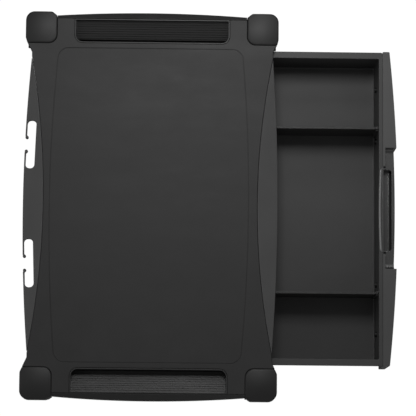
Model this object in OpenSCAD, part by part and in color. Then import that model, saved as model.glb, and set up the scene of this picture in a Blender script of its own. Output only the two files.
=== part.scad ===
// Desk riser with a wide pull-out drawer, ribbed side trays and a slotted cable rail.
// +X runs along the long side, the drawer opens along -Y, +Z points up.
// The origin lies on the desk, under the middle of the whole object with its drawer out.

/* [Stand] */
// Overall width, over the bowed side skirts
overall_w = 500; // [480:1:520]
// Depth over the corner caps
stand_d = 326; // [318:1:334]
// Height to the crown of the corner caps
stand_h = 120; // [112:1:150]
// Thickness of the deck plate
deck_t = 3.5; // [3:0.1:4]
// Height of the caps above the deck
cap_rise = 2.5; // [1.5:0.1:3.5]
// Depth of the shallow panel let into the deck
panel_recess = 0.5; // [0.2:0.1:0.8]

/* [Edges] */
// How far the skirts bow out past the caps
side_crown = 1; // [0:0.1:1.5]
// Bow of each side skirt
side_bow = 5; // [3:0.1:6]
// Bow of the front edge
front_bow = 7; // [5:0.1:8]
// Bow of the rear edge
rear_bow = 8.5; // [6:0.1:9]
// Width of the front bezel and the rear rail at the middle
rail_w = 26.3; // [24:0.1:28]
// Half the length of the front bezel and the rear rail
rail_half_l = 191; // [185:1:195]
// Slope of the front bezel and the rear rail
rail_slope = 11; // [8:0.5:12]
// Slope of the side skirts
skirt_slope = 35; // [25:1:40]

/* [Corners] */
// Width of a corner cap
cap_w = 40.4; // [38:0.1:42]
// Radius of a cap's corners
cap_r = 8; // [6:0.1:10]
// Slant of the edges that run from the deck onto a cap
flank_slope = 24.5; // [15:0.5:30]
// Rounding of a cap's top edge
cap_edge_r = 5; // [3:0.1:6]
// Width of a leg module
leg_w = 35.6; // [33:0.1:36]
// Height of a foot pad
foot_h = 4; // [3:0.5:6]

/* [Side trays] */
// Length of a side tray's opening
side_tray_l = 196.8; // [180:0.1:200]
// Width of a side tray's opening
side_tray_w = 28.8; // [28:0.1:29]
// Width of the deep slot along a side tray
side_slot_w = 5.5; // [4:0.5:8]
// Number of ribs on a side tray's ramp
ramp_ribs = 8; // [5:1:10]

/* [Cable slots] */
// Length of a cable slot
cable_slot_l = 62; // [50:1:70]
// Width of a cable slot
cable_slot_w = 11.4; // [9:0.1:12]
// Opening between a slot's fingers
cable_gap = 14; // [10:0.5:16]
// Distance of a cable slot from the middle
cable_slot_x = 76.5; // [60:0.5:90]

/* [Drawer] */
// Width of the drawer over its rim
drawer_w = 406; // [398:1:406]
// Depth of the drawer tray from its front to its back
drawer_d = 265.7; // [240:0.1:266]
// Depth of the inside of the drawer
drawer_inside_h = 62; // [40:1:64]
// How far the drawer is pulled out at rest
drawer_open = 150; // [100:1:160]
// How much further the drawer can be pulled
drawer_extra = 40; // [20:1:45]
// Bow of the drawer front
front_panel_bow = 10.3; // [6:0.1:12]
// Depth of the drawer front at its ends
front_panel_t = 8.8; // [8:0.1:10]
// Length of the pull
pull_l = 156; // [140:1:170]
// Length of the finger pocket in the pull
pocket_l = 105; // [90:1:115]
// Depth of the finger pocket below the drawer's rim
pocket_depth = 17; // [12:1:22]
// Place of the left-hand divider
divider_left_x = -109.5; // [-130:0.5:-80]
// Place of the right-hand divider
divider_right_x = 104; // [80:0.5:130]

/* [Hidden] */

LEFT = -1;
RIGHT = 1;
FRONT = -1;
REAR = 1;

fine = 720;         // facets of the very large arcs
round_fn = 64;      // facets of the small rounds
eps = 0.01;
far = 400;          // larger than any half size
gap = 0.25;         // parting gap between neighbouring mouldings
wall = 2.4;         // usual wall of the mouldings

// Levels above the desk
deck_z = stand_h - cap_rise;
under_deck_z = deck_z - deck_t;
clear_z = deck_z - 8.7;             // underside of the ribs and the rails
rim_z = deck_z - 11.3;              // top of the drawer's rim
panel_top_z = rim_z + 0.8;          // top of the drawer front
tray_bottom_z = rim_z - drawer_inside_h - wall;
ear_t = 2.4;
side_z = stand_h - 28;              // underside of the skirts, side trays and ears
leg_h = (side_z - foot_h) / 2;

// Places in plan
cap_x = overall_w / 2 - side_crown;             // outer face of the caps
cap_y = stand_d / 2;
corner_x = cap_x - cap_w / 2;                   // middle of a corner
corner_y = cap_y - cap_w / 2;
cap_hole = cap_w / 2 + gap;                     // half the cut-out for a cap
flank_in = 3;                                   // how far a flank lies inside a cap's outer face
skirt_flank = [5, 6.3];                         // corner cut off a cap beside the skirt
crease_y = cap_y - rail_w;                      // inner edge of the rails at the middle
deck_half_w = cap_x - 7.8;                      // edge of the deck along the side trays
side_tray_in = deck_half_w - side_tray_w - 1.6; // inner face of a side tray's inner wall
side_wall = 1.4;

// The drawer at its closed place
rim_w = 8.6;
drawer_wall = 2.6;
rim_t = 2.8;
drawer_front_y = -(cap_y - 14.8);               // where the drawer front meets the tray
drawer_back_y = drawer_front_y + drawer_d;
inner_front_y = drawer_front_y + 4.9;
inner_half_w = drawer_w / 2 - rim_w;
floor_z = rim_z - drawer_inside_h;
floor_round = 6;
divider_t = 2;
runner_half_l = 117.2;
runner_lip_z = rim_z - rim_t - 1.1;             // top of the runner's lip
screw_r = 1.75;
screw_head_r = 3.5;
screw_head_h = 2.2;
leg_screw_r = 2.5;
peg_r = 8;
peg_h = 9;

// Where the stand's middle lies: the whole object with the drawer out is centred on the origin
pull_half = pull_l / 2;
front_face_y = drawer_front_y - gap - front_panel_t - front_panel_bow;
front_panel_r = arc_r(drawer_w / 2, front_panel_bow);
front_reach = -front_face_y - arc_drop(front_panel_r, pull_half) + drawer_open;
stand_y = (front_reach - cap_y) / 2;

// Radius of an arc with the given half chord and rise
function arc_r(half, rise) = (half * half + rise * rise) / (2 * rise);
// How far such an arc falls back at a distance from its middle
function arc_drop(r, x) = r - sqrt(r * r - x * x);

front_edge_r = arc_r(rail_half_l, front_bow);
rear_edge_r = arc_r(rail_half_l, rear_bow);
front_crease_r = arc_r(rail_half_l, rail_w - front_bow);
rear_crease_r = arc_r(rail_half_l, rail_w - rear_bow);

// Cable slots
finger_t = 2.1;                     // outer fingers
finger_bulb_r = 2;                  // their round ends
slot_mid_y = cap_y - arc_drop(rear_edge_r, cable_slot_x) - finger_t - cable_slot_w / 2;
slot_tilt = asin(cable_slot_x / rear_edge_r);

// Ramps of the side trays
side_rim_z = deck_z - 0.6;
ramp_low_z = side_z + 12;
ramp_high_z = deck_z - 6.5;

// Pull
pull_face_y = drawer_front_y - 14.8;    // at the pull's ends
ledge_z = rim_z - 5.2;
pocket_x = -2.5;                    // middle of the finger pocket
pocket_in_y = drawer_front_y - 0.7;
pocket_out_y = pull_face_y + 3;
pocket_floor_z = rim_z - pocket_depth;
pocket_cut_l = pocket_l + 8;        // room for the pocket's housing in tray and front
bead_w = 5.3;
bead_h = 1.7;

// Runners, apron and screws
hung_z = under_deck_z - 0.1;        // top of what hangs on the deck
runner_x = drawer_w / 2 + 0.9;      // inner face of a runner's web
runner_screw_x = inner_half_w - 1;
runner_screw_ys = [-95, 0, 95];
stop_gap = 0.3;                     // left between stop and runner at full travel
apron_y = drawer_back_y + 0.4;
apron_screw_xs = [-130, 0, 130];
apron_rib_xs = [-175, -65, 65, 175];
apron_tab = 8;
rail_screw_xs = [-120, 0, 120];
front_screw_xs = [-160, -96, 92, 160];
front_screw_z = floor_z + 26;
glide_t = 1;

// ---------- shared shapes ----------

module at_stand() translate([0, stand_y, 0]) children();
module at_drawer() translate([0, stand_y - drawer_open, 0]) children();
module at_corner(side, end) at_stand() translate([side * corner_x, end * corner_y, 0]) children();

module rounded_square(w, d, r) {
    square([w - 2 * r, d], center = true);
    square([w, d - 2 * r], center = true);
    for (sx = [-1, 1], sy = [-1, 1])
        translate([sx * (w / 2 - r), sy * (d / 2 - r)]) circle(r = r, $fn = round_fn);
}

// Upright block with rounded corners (r) and a rounded top edge (er), standing on z = 0
module rounded_block(w, d, h, r, er) {
    linear_extrude(h - er) rounded_square(w, d, r);
    linear_extrude(h) rounded_square(w - 2 * er, d - 2 * er, max(r - er, 0.5));
    for (sx = [-1, 1], sy = [-1, 1])
        translate([sx * (w / 2 - r), sy * (d / 2 - r), h - er]) rounded_rim(r, er);
    for (s = [-1, 1]) {
        translate([0, s * (d / 2 - er), h - er])
            rotate([0, 90, 0]) cylinder(r = er, h = w - 2 * r, center = true, $fn = round_fn);
        translate([s * (w / 2 - er), 0, h - er])
            rotate([90, 0, 0]) cylinder(r = er, h = d - 2 * r, center = true, $fn = round_fn);
    }
}

// Round corner of such a block: a disc with a rounded edge
module rounded_rim(r, er) {
    rotate_extrude($fn = round_fn) {
        translate([0, -er]) square([r - er, 2 * er]);
        intersection() {
            translate([r - er, 0]) circle(r = er, $fn = round_fn);
            translate([0, -er]) square([r, 2 * er]);
        }
    }
}

// Points of an outline whose front and rear edges bow out and whose corners are round
function bowed_corner(x, y, r, a0) =
    [for (i = [0 : 6]) [x + r * cos(a0 + 15 * i), y + r * sin(a0 + 15 * i)]];
function bowed_edge(half, y, bow, n) =
    [for (i = [1 : n - 1]) let (t = -half + 2 * half * i / n)
        [t, y + bow * (1 - pow(t / half, 2))]];
function flipped(points) = [for (i = [len(points) - 1 : -1 : 0]) points[i]];
function bowed_outline(half_w, front, rear, front_rise, rear_rise, r) = concat(
    bowed_corner(half_w - r, rear - r, r, 0),
    flipped(bowed_edge(half_w - r, rear, rear_rise, 24)),
    bowed_corner(-half_w + r, rear - r, r, 90),
    bowed_corner(-half_w + r, -front + r, r, 180),
    bowed_edge(half_w - r, -front, -front_rise, 24),
    bowed_corner(half_w - r, -front + r, r, 270)
);

// ---------- deck ----------

module front_crease(grow = 0)
    translate([0, -crease_y - front_crease_r]) circle(r = front_crease_r + grow, $fn = fine);
module rear_crease(grow = 0)
    translate([0, crease_y + rear_crease_r]) circle(r = rear_crease_r + grow, $fn = fine);

// Children of the rear right corner, mirrored to another corner
module mirrored(side, end)
    mirror([side == LEFT ? 1 : 0, 0, 0]) mirror([0, end == FRONT ? 1 : 0, 0]) children();

// Plan of the rear right cap: two round corners, and flanks that carry on the slanted edges
// of the deck and the skirt
module cap_plan(grow = 0) {
    half = cap_w / 2 + grow;
    difference() {
        union() {
            rounded_square(2 * half, 2 * half, cap_r);
            for (s = [-1, 1]) translate([s, -s] * (half - cap_r / 2)) square(cap_r, center = true);
        }
        translate([-half, half - flank_in]) rotate(flank_slope)
            translate([-far, 0]) square([2 * far, far]);
        translate([half - skirt_flank[0], -half]) rotate(atan2(skirt_flank[1], skirt_flank[0]))
            translate([-far, -far]) square([2 * far, far]);
    }
}

module cap_cutouts(grow)
    for (sx = [-1, 1], sy = [-1, 1])
        translate([sx * corner_x, sy * corner_y]) mirrored(sx, sy) cap_plan(grow);

// The deck's slanted edge between a rail's end and a cap
module deck_flank(side, end, bow, inset) {
    cap_side_x = corner_x - cap_w / 2;
    edge_y = cap_y - bow - inset;
    slant_l = (bow - flank_in) / tan(flank_slope);
    polygon([for (p = [[rail_half_l - 1, edge_y], [cap_side_x - slant_l, edge_y],
                       [cap_side_x + 1, cap_y - flank_in - inset + tan(flank_slope)],
                       [cap_side_x + 1, corner_y], [rail_half_l - 1, corner_y]])
        [side * p[0], end * p[1]]]);
}

module side_notches(grow)
    for (s = [-1, 1])
        translate([s * (side_tray_in + far / 2 - side_wall - gap - grow), 0])
            square([far, side_tray_l + 2 * (side_wall + gap + grow)], center = true);

module deck_outline(inset = 0)
    difference() {
        union() {
            translate([-deck_half_w + inset, -cap_y + front_bow + inset])
                square([2 * (deck_half_w - inset), 2 * cap_y - front_bow - rear_bow - 2 * inset]);
            for (s = [LEFT, RIGHT]) {
                deck_flank(s, FRONT, front_bow, inset);
                deck_flank(s, REAR, rear_bow, inset);
            }
        }
        front_crease(inset);
        rear_crease(inset);
        cap_cutouts(gap + inset);
        side_notches(inset);
    }

// Bracket under a corner: an ear that is clamped between cap and leg, and its two walls
module deck_ear(sx, sy) {
    inner = cap_hole + wall;
    translate([sx * corner_x, sy * corner_y, side_z]) {
        linear_extrude(ear_t)
            difference() {
                intersection() {
                    rounded_square(2 * inner, 2 * inner, cap_r);
                    translate([-sx * (inner - leg_w / 2) / 2, -sy * (inner - leg_w / 2) / 2])
                        square(inner + leg_w / 2, center = true);
                }
                circle(r = peg_r + 0.2, $fn = round_fn);
                // Room for the end of the skirt
                translate([sx * (deck_half_w - corner_x + 2 * wall), -sy * (cap_w / 2 + 2 * wall)])
                    square(4 * wall, center = true);
            }
        linear_extrude(clear_z - side_z + eps)
            intersection() {
                difference() {
                    rounded_square(2 * inner, 2 * inner, cap_r + wall);
                    rounded_square(2 * cap_hole, 2 * cap_hole, cap_r);
                }
                translate([-sx * inner / 2, -sy * inner / 2]) square(inner, center = true);
            }
    }
}

module deck_ribs() {
    rib_t = 1.8;
    rib_half_w = 186;
    rib_half_d = 116;
    for (i = [-4 : 4])
        translate([i * 45, 0, 0]) square([rib_t, 2 * rib_half_d], center = true);
    for (i = [-3 : 3])
        translate([0, i * 37, 0]) square([2 * rib_half_w, rib_t], center = true);
}

module deck_plate() color([0.13, 0.13, 0.135])
    at_stand() difference() {
        union() {
            translate([0, 0, under_deck_z]) linear_extrude(deck_t) deck_outline();
            translate([0, 0, clear_z]) linear_extrude(under_deck_z - clear_z + eps)
                difference() {
                    deck_outline();
                    deck_outline(wall);
                    front_crease(9);
                    rear_crease(9);
                }
            translate([0, 0, clear_z]) linear_extrude(under_deck_z - clear_z + eps) deck_ribs();
            for (sx = [-1, 1], sy = [-1, 1]) deck_ear(sx, sy);
        }
        translate([0, 0, deck_z - panel_recess]) linear_extrude(far)
            polygon(bowed_outline(203, 118, 121.5, 8, 8, 15));
        for (p = deck_screw_places) translate([p[0], p[1], under_deck_z - eps])
            cylinder(r = screw_r + 0.05, h = 2.3, $fn = round_fn);
    }

// Points of a band between two arcs that bow apart, from their middle heights and radii
function band_points(end, half, outer_y, outer_r, inner_y, inner_r, n = 44) = concat(
    [for (i = [0 : n]) let (x = -half + 2 * half * i / n)
        [x, end * (outer_y - arc_drop(outer_r, x))]],
    [for (i = [n : -1 : 0]) let (x = -half + 2 * half * i / n)
        [x, end * (inner_y + arc_drop(inner_r, x))]]
);

// Rail between its crease and its outer edge; its top falls away from the crease
module rail(end, edge_r, crease_r) {
    fall = 8;
    blunt = 3;
    difference() {
        translate([0, 0, clear_z]) linear_extrude(deck_z - clear_z)
            polygon(band_points(end, rail_half_l - blunt, cap_y, edge_r, crease_y + gap, crease_r));
        translate([0, end * (crease_y + crease_r), deck_z - fall])
            cylinder(r1 = crease_r - fall / tan(rail_slope), r2 = crease_r + 1 / tan(rail_slope),
                     h = fall + 1, $fn = fine);
    }
    // Tongue under the deck that the screws hold
    translate([0, 0, hung_z - wall]) linear_extrude(wall)
        polygon(band_points(end, rail_half_l - 36, crease_y + 17, 10 * edge_r, crease_y - 8, crease_r));
}

module front_bezel() color([0.17, 0.17, 0.175])
    at_stand() difference() {
        rail(FRONT, front_edge_r, front_crease_r);
        rail_screw_holes(FRONT);
    }

// C-shaped slot that is open to the rear between two fingers
module cable_slot() {
    rounded_square(cable_slot_l, cable_slot_w, 5);
    translate([0, far / 2]) square([cable_gap + 2 * finger_bulb_r, far], center = true);
}

module rear_cable_rail() color([0.17, 0.17, 0.175])
    at_stand() difference() {
        union() {
            difference() {
                rail(REAR, rear_edge_r, rear_crease_r);
                for (s = [-1, 1]) cable_slot_place(s) translate([0, 0, -far / 2])
                    linear_extrude(far) cable_slot();
            }
            for (s = [-1, 1]) cable_slot_place(s) finger_ends();
        }
        rail_screw_holes(REAR);
    }

module cable_slot_place(s)
    translate([s * cable_slot_x, slot_mid_y, 0]) rotate([0, 0, -s * slot_tilt]) children();

// Rounded ends of the two fingers
module finger_ends()
    for (s = [-1, 1])
        translate([s * (cable_gap / 2 + finger_bulb_r), cable_slot_w / 2 - 0.2, clear_z])
            cylinder(r = finger_bulb_r, h = deck_z - 5 - clear_z, $fn = round_fn);

module side_skirt(side) color([0.13, 0.13, 0.135])
    at_stand() difference() {
        inner = deck_half_w + gap;
        edge_r = arc_r(corner_y - cap_w / 2, side_bow);
        translate([0, 0, side_z]) linear_extrude(deck_z - side_z)
            skirt_outline(side, inner, edge_r);
        translate([0, 0, side_z - eps]) linear_extrude(deck_z - side_z - 9)
            skirt_outline(side, inner + wall, edge_r - wall, wall);
        translate([side * (inner + 0.8), 0, deck_z]) rotate([0, side * skirt_slope, 0])
            translate([0, 0, 20]) cube([80, far, 40], center = true);
    }

module skirt_outline(side, inner, edge_r, inset = 0)
    intersection() {
        translate([side * (overall_w / 2 - inset - edge_r), 0]) circle(r = edge_r, $fn = fine);
        translate([side * (inner + 10), 0])
            square([20, 2 * (corner_y - cap_hole - inset)], center = true);
    }

// ---------- side trays ----------

// Cross-section of a side tray's hollow: deep slot, then a ribbed ramp up to the outer edge
function ramp_point(i, lift) =
    [side_slot_w + (side_tray_w - side_slot_w) * i / (2 * ramp_ribs),
     ramp_low_z + (ramp_high_z - ramp_low_z) * i / (2 * ramp_ribs) + lift];
function ramp_rib_points(depth) =
    [for (i = [0 : 2 * ramp_ribs - 1], k = [0, 1])
        ramp_point(i + k * 0.98, i % 2 == 0 ? depth : 0)];
function tray_hollow(depth) = concat(
    [[0, deck_z + 1], [0, side_z + 1.6], [side_slot_w, side_z + 1.6]],
    ramp_rib_points(depth),
    [[side_tray_w, ramp_high_z], [side_tray_w, deck_z + 1]]
);

// Plan of a side tray: square outer corners, round inner ones
module side_tray_plan(grow, r) {
    w = side_tray_w + 2 * grow;
    l = side_tray_l + 2 * grow;
    translate([side_tray_w / 2, 0]) {
        translate([r / 2, 0]) square([w - r, l], center = true);
        square([w, l - 2 * r], center = true);
        for (s = [-1, 1]) translate([-w / 2 + r, s * (l / 2 - r)]) circle(r = r, $fn = round_fn);
    }
}

module side_tray(side) color([0.10, 0.10, 0.105])
    at_stand() mirror([side == LEFT ? 1 : 0, 0, 0]) translate([side_tray_in, 0, 0]) difference() {
        translate([0, 0, side_z]) linear_extrude(side_rim_z - side_z) side_tray_plan(side_wall, 10);
        intersection() {
            translate([0, far / 2, 0]) rotate([90, 0, 0])
                linear_extrude(far) polygon(tray_hollow(-0.9));
            translate([0, 0, side_z]) linear_extrude(far) side_tray_plan(0, 8.6);
        }
    }

// ---------- corners ----------

module corner_cap(side, end) color([0.16, 0.16, 0.165])
    at_corner(side, end) mirrored(side, end) difference() {
        bottom_z = side_z + ear_t + gap;
        intersection() {
            translate([0, 0, bottom_z])
                rounded_block(cap_w, cap_w, stand_h - bottom_z, cap_edge_r + 0.5, cap_edge_r);
            translate([0, 0, side_z]) linear_extrude(far) cap_plan();
            translate([0, 0, stand_h - 250]) sphere(r = 250, $fn = 2 * fine);
        }
        translate([0, 0, bottom_z - eps]) linear_extrude(stand_h - bottom_z - 4)
            difference() {
                rounded_square(cap_w - 2 * wall, cap_w - 2 * wall, cap_r - wall);
                circle(r = peg_r - 1, $fn = round_fn);
                square([2, cap_w], center = true);
                square([cap_w, 2], center = true);
            }
        translate([0, 0, bottom_z - eps]) cylinder(r = peg_r + 0.2, h = peg_h, $fn = round_fn);
        translate([0, 0, bottom_z]) cylinder(r = leg_screw_r + 0.05, h = 19, $fn = round_fn);
    }

// One stacking module of a leg: a square tube with a plate and a peg on top
module leg_module(z) color([0.12, 0.12, 0.125]) translate([0, 0, z]) difference() {
    top_t = 3;
    socket_h = peg_h + 1;
    union() {
        linear_extrude(leg_h) difference() {
            rounded_square(leg_w, leg_w, cap_r - 1);
            rounded_square(leg_w - 2 * wall, leg_w - 2 * wall, cap_r - 1 - wall);
        }
        translate([0, 0, leg_h - top_t]) linear_extrude(top_t) rounded_square(leg_w, leg_w, cap_r - 1);
        translate([0, 0, leg_h - eps]) cylinder(r = peg_r, h = peg_h, $fn = round_fn);
        cylinder(r = peg_r + wall, h = socket_h, $fn = round_fn);
        linear_extrude(leg_h - eps) difference() {
            union() {
                square([2, leg_w - wall], center = true);
                square([leg_w - wall, 2], center = true);
            }
            circle(r = peg_r + wall - 0.5, $fn = round_fn);
        }
    }
    translate([0, 0, -eps]) cylinder(r = peg_r + 0.2, h = socket_h, $fn = round_fn);
    translate([0, 0, leg_h - top_t - 1]) cylinder(r = leg_screw_r + 0.1, h = peg_h + 6, $fn = round_fn);
    // Two grip grooves around the module
    for (h = [3, leg_h - 3.5]) translate([0, 0, h]) linear_extrude(0.6) difference() {
        square(leg_w + 4, center = true);
        rounded_square(leg_w - 1, leg_w - 1, cap_r - 1.5);
    }
}

module leg_upper(side, end) at_corner(side, end) leg_module(foot_h + leg_h);
module leg_lower(side, end) at_corner(side, end) leg_module(foot_h);

module foot_pad(side, end) color([0.06, 0.06, 0.06]) at_corner(side, end) {
    pad_w = leg_w - 3;
    translate([0, 0, foot_h]) mirror([0, 0, 1]) rounded_block(pad_w, pad_w, foot_h, 6, 1.2);
    translate([0, 0, foot_h - eps]) cylinder(r = peg_r, h = 6, $fn = round_fn);
}

// ---------- runners, apron and screws ----------

function rail_screw_y(end, x) =
    end * (crease_y - 4 + arc_drop(end == FRONT ? front_crease_r : rear_crease_r, x));

deck_screw_places = concat(
    [for (s = [-1, 1], y = runner_screw_ys) [s * runner_screw_x, y]],
    [for (x = rail_screw_xs, end = [FRONT, REAR]) [x, rail_screw_y(end, x)]],
    [for (x = apron_screw_xs) [x, apron_y + wall + apron_tab / 2]]
);

module rail_screw_holes(end)
    for (x = rail_screw_xs) translate([x, rail_screw_y(end, x), clear_z - 1])
        cylinder(r = screw_r + 0.15, h = 12, $fn = round_fn);

// C-shaped section: top flange, web and the lip that carries the drawer's rim
module runner_section() {
    lip_x = inner_half_w + drawer_wall + 1.3;
    translate([runner_x, runner_lip_z - wall]) square([wall, hung_z - runner_lip_z + wall]);
    translate([inner_half_w - 6, hung_z - wall]) square([runner_x + wall - inner_half_w + 6, wall]);
    translate([lip_x, runner_lip_z - wall]) square([runner_x + wall - lip_x, wall]);
}

module runner(side) color([0.10, 0.10, 0.105])
    at_stand() difference() {
        union() {
            rotate([90, 0, 0]) translate([0, 0, -runner_half_l]) linear_extrude(2 * runner_half_l)
                mirror([side == LEFT ? 1 : 0, 0]) runner_section();
            runner_stop(side);
        }
        for (y = runner_screw_ys) translate([side * runner_screw_x, y, hung_z - wall - 1])
            cylinder(r = screw_r + 0.15, h = wall + 2, $fn = round_fn);
    }

// Block inside the runner that ends the drawer's travel
module runner_stop(side) {
    block = [5.4, 3, hung_z - wall / 2 - rim_z - 0.6];
    face_y = drawer_back_y - 5 - drawer_open - drawer_extra - stop_gap;
    translate([side * (runner_x + 0.1 - block[0] / 2), face_y - block[1] / 2, hung_z - (wall + block[2]) / 2])
        cube(block, center = true);
}

// Plate behind the drawer, hung from the deck by three tabs
module rear_apron() color([0.10, 0.10, 0.105])
    at_stand() difference() {
        half_w = drawer_w / 2 + 0.8;
        bottom = tray_bottom_z + 18;
        plate_h = clear_z - 0.4 - bottom;
        union() {
            translate([-half_w, apron_y, bottom]) cube([2 * half_w, wall, plate_h]);
            for (x = apron_rib_xs) translate([x - 1, apron_y, bottom]) cube([2, wall + 5, plate_h]);
            for (x = apron_screw_xs) {
                translate([x - 10, apron_y, bottom + plate_h - 1]) cube([20, wall, hung_z - clear_z + 1.4]);
                translate([x - 10, apron_y, hung_z - wall]) cube([20, wall + apron_tab, wall]);
            }
        }
        for (x = apron_screw_xs) translate([x, apron_y + wall + apron_tab / 2, hung_z - wall - 1])
            cylinder(r = screw_r + 0.15, h = wall + 2, $fn = round_fn);
    }

module leg_screws() color([0.45, 0.45, 0.46])
    for (sx = [-1, 1], sy = [-1, 1]) at_corner(sx, sy) {
        translate([0, 0, side_z - 3 - 3.2]) difference() {
            cylinder(r = 4.5, h = 3.2, $fn = round_fn);
            translate([0, 0, -eps]) cylinder(r = 2.3, h = 1.8, $fn = 6);
        }
        translate([0, 0, side_z - 3 - eps]) cylinder(r = leg_screw_r, h = 22, $fn = round_fn);
    }

// Pan-head screws that hold the runners, the rails and the apron to the deck
module deck_screws() color([0.45, 0.45, 0.46])
    at_stand() for (p = deck_screw_places) {
        seat_z = hung_z - wall;
        translate([p[0], p[1], seat_z - screw_head_h]) difference() {
            cylinder(r = screw_head_r, h = screw_head_h, $fn = round_fn);
            for (a = [0, 90]) rotate([0, 0, a]) translate([0, 0, 0.5])
                cube([4, 0.9, 1.2], center = true);
        }
        translate([p[0], p[1], seat_z - eps]) cylinder(r = screw_r, h = wall + 2.2, $fn = round_fn);
    }

// ---------- drawer ----------

module drawer_box(half_w, front, back, bottom, top, r, er)
    translate([0, (front + back) / 2, top]) mirror([0, 0, 1])
        rounded_block(2 * half_w, back - front, top - bottom, r, er);

module divider_guides(x, y, dir)
    for (s = [-1, 1])
        translate([x + s * (divider_t / 2 + 0.2 + 0.7), y + dir * 1.7, (floor_z + rim_z) / 2 - 2])
            cube([1.4, 3.6, rim_z - floor_z - 4], center = true);

module drawer_tray() color([0.15, 0.15, 0.155])
    at_drawer() {
        back_in = drawer_back_y - drawer_wall;
        difference() {
            union() {
                drawer_box(inner_half_w + drawer_wall, inner_front_y - drawer_wall, drawer_back_y,
                           tray_bottom_z, rim_z, 8 + drawer_wall, floor_round + drawer_wall);
                translate([0, (drawer_front_y + drawer_back_y) / 2, rim_z - rim_t])
                    linear_extrude(rim_t) rounded_square(drawer_w, drawer_d, 2);
            }
            drawer_box(inner_half_w, inner_front_y, back_in, floor_z, rim_z + 1, 8, floor_round);
            // Room for the pull's inner wall
            translate([pocket_x, drawer_front_y, rim_z])
                cube([pocket_cut_l, 3.6, 4 * rim_t], center = true);
            for (x = front_screw_xs) translate([x, inner_front_y, front_screw_z]) rotate([90, 0, 0])
                cylinder(r = screw_r + 0.15, h = 4 * drawer_wall, center = true, $fn = round_fn);
        }
        for (x = [divider_left_x, divider_right_x]) {
            divider_guides(x, inner_front_y, 1);
            divider_guides(x, back_in, -1);
        }
    }

module front_panel_outline(inset = 0)
    intersection() {
        translate([0, front_face_y + front_panel_r]) circle(r = front_panel_r - inset, $fn = fine);
        translate([-drawer_w / 2 + inset, drawer_front_y - gap - 60])
            square([drawer_w - 2 * inset, 60 - inset]);
    }

module drawer_front() color([0.16, 0.16, 0.165])
    at_drawer() difference() {
        bottom = tray_bottom_z - 1.6;
        web = 3.4;                      // wall left behind the pull
        translate([0, 0, bottom]) linear_extrude(panel_top_z - bottom) front_panel_outline();
        translate([0, 0, bottom - eps]) linear_extrude(panel_top_z - bottom - wall) difference() {
            front_panel_outline(wall);
            for (x = [-176 : 44 : 176]) translate([x, 0]) square([1.8, far], center = true);
            square([pull_l + 2 * gap + 2 * wall, far], center = true);
        }
        translate([-pull_half - gap, drawer_front_y - gap - web - 60, 0]) cube([pull_l + 2 * gap, 60, far]);
        translate([pocket_x, drawer_front_y - gap, rim_z]) cube([pocket_cut_l, 3 * web, 60], center = true);
        for (x = front_screw_xs) translate([x, drawer_front_y - gap - 5, front_screw_z]) rotate([-90, 0, 0])
            cylinder(r = screw_r + 0.05, h = 12, $fn = round_fn);
    }

// Pull: a full-height insert, set in from the bowed face, with a ledge and a finger pocket
module drawer_pull() color([0.18, 0.18, 0.185])
    at_drawer() difference() {
        back = drawer_front_y - gap - 3.4 - gap;
        bottom = tray_bottom_z - 1.6;
        end_r = 5;
        flat_half = pull_half - end_r - 0.6;
        bow_half = flat_half - 1;
        union() {
            // Body with upturned ends
            difference() {
                translate([-pull_half, pull_face_y, bottom])
                    cube([pull_l, back - pull_face_y, ledge_z + end_r - bottom]);
                translate([-flat_half, pull_face_y - 1, ledge_z]) cube([2 * flat_half, far, far]);
                for (s = [-1, 1]) translate([s * flat_half, far / 2, ledge_z + end_r])
                    rotate([90, 0, 0]) cylinder(r = end_r, h = far, $fn = round_fn);
            }
            // Bowed face between the upturned ends
            translate([0, pull_face_y, bottom]) linear_extrude(ledge_z - bottom) polygon(concat(
                [[bow_half, 1], [-bow_half, 1]],
                [for (i = [0 : 12]) let (x = bow_half * (i / 6 - 1))
                    [x, arc_drop(front_panel_r, x) - arc_drop(front_panel_r, bow_half)]]
            ));
            // Housing of the finger pocket
            translate([pocket_x - pocket_l / 2 - 2, back - eps, pocket_floor_z - 2])
                cube([pocket_l + 4, pocket_in_y + 1.6 - back, rim_z + 0.7 - pocket_floor_z + 2]);
            // Bead that hooks over the drawer's rim
            translate([pocket_x, inner_front_y - bead_w / 2 - 0.2, rim_z + 0.1]) bead(pocket_l + 3);
        }
        finger_pocket();
        // Hollow underside on each side of a middle web
        for (s = [-1, 1]) translate([s * pull_l / 4, (back + pull_face_y) / 2, bottom - 1])
            linear_extrude(pocket_floor_z - wall - bottom + 1)
                square([pull_l / 2 - 5, back - pull_face_y - 2 * wall], center = true);
    }

module bead(l)
    rotate([90, 0, 90]) linear_extrude(l, center = true) intersection() {
        r = arc_r(bead_w / 2, bead_h);
        translate([0, bead_h - r]) circle(r = r, $fn = round_fn);
        translate([-bead_w / 2, 0]) square([bead_w, bead_h]);
    }

module finger_pocket() {
    w = pocket_in_y - pocket_out_y;
    translate([pocket_x, (pocket_in_y + pocket_out_y) / 2, rim_z + 20]) mirror([0, 0, 1])
        rounded_block(pocket_l, w, rim_z + 20 - pocket_floor_z, 3.5, 2.5);
}

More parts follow.
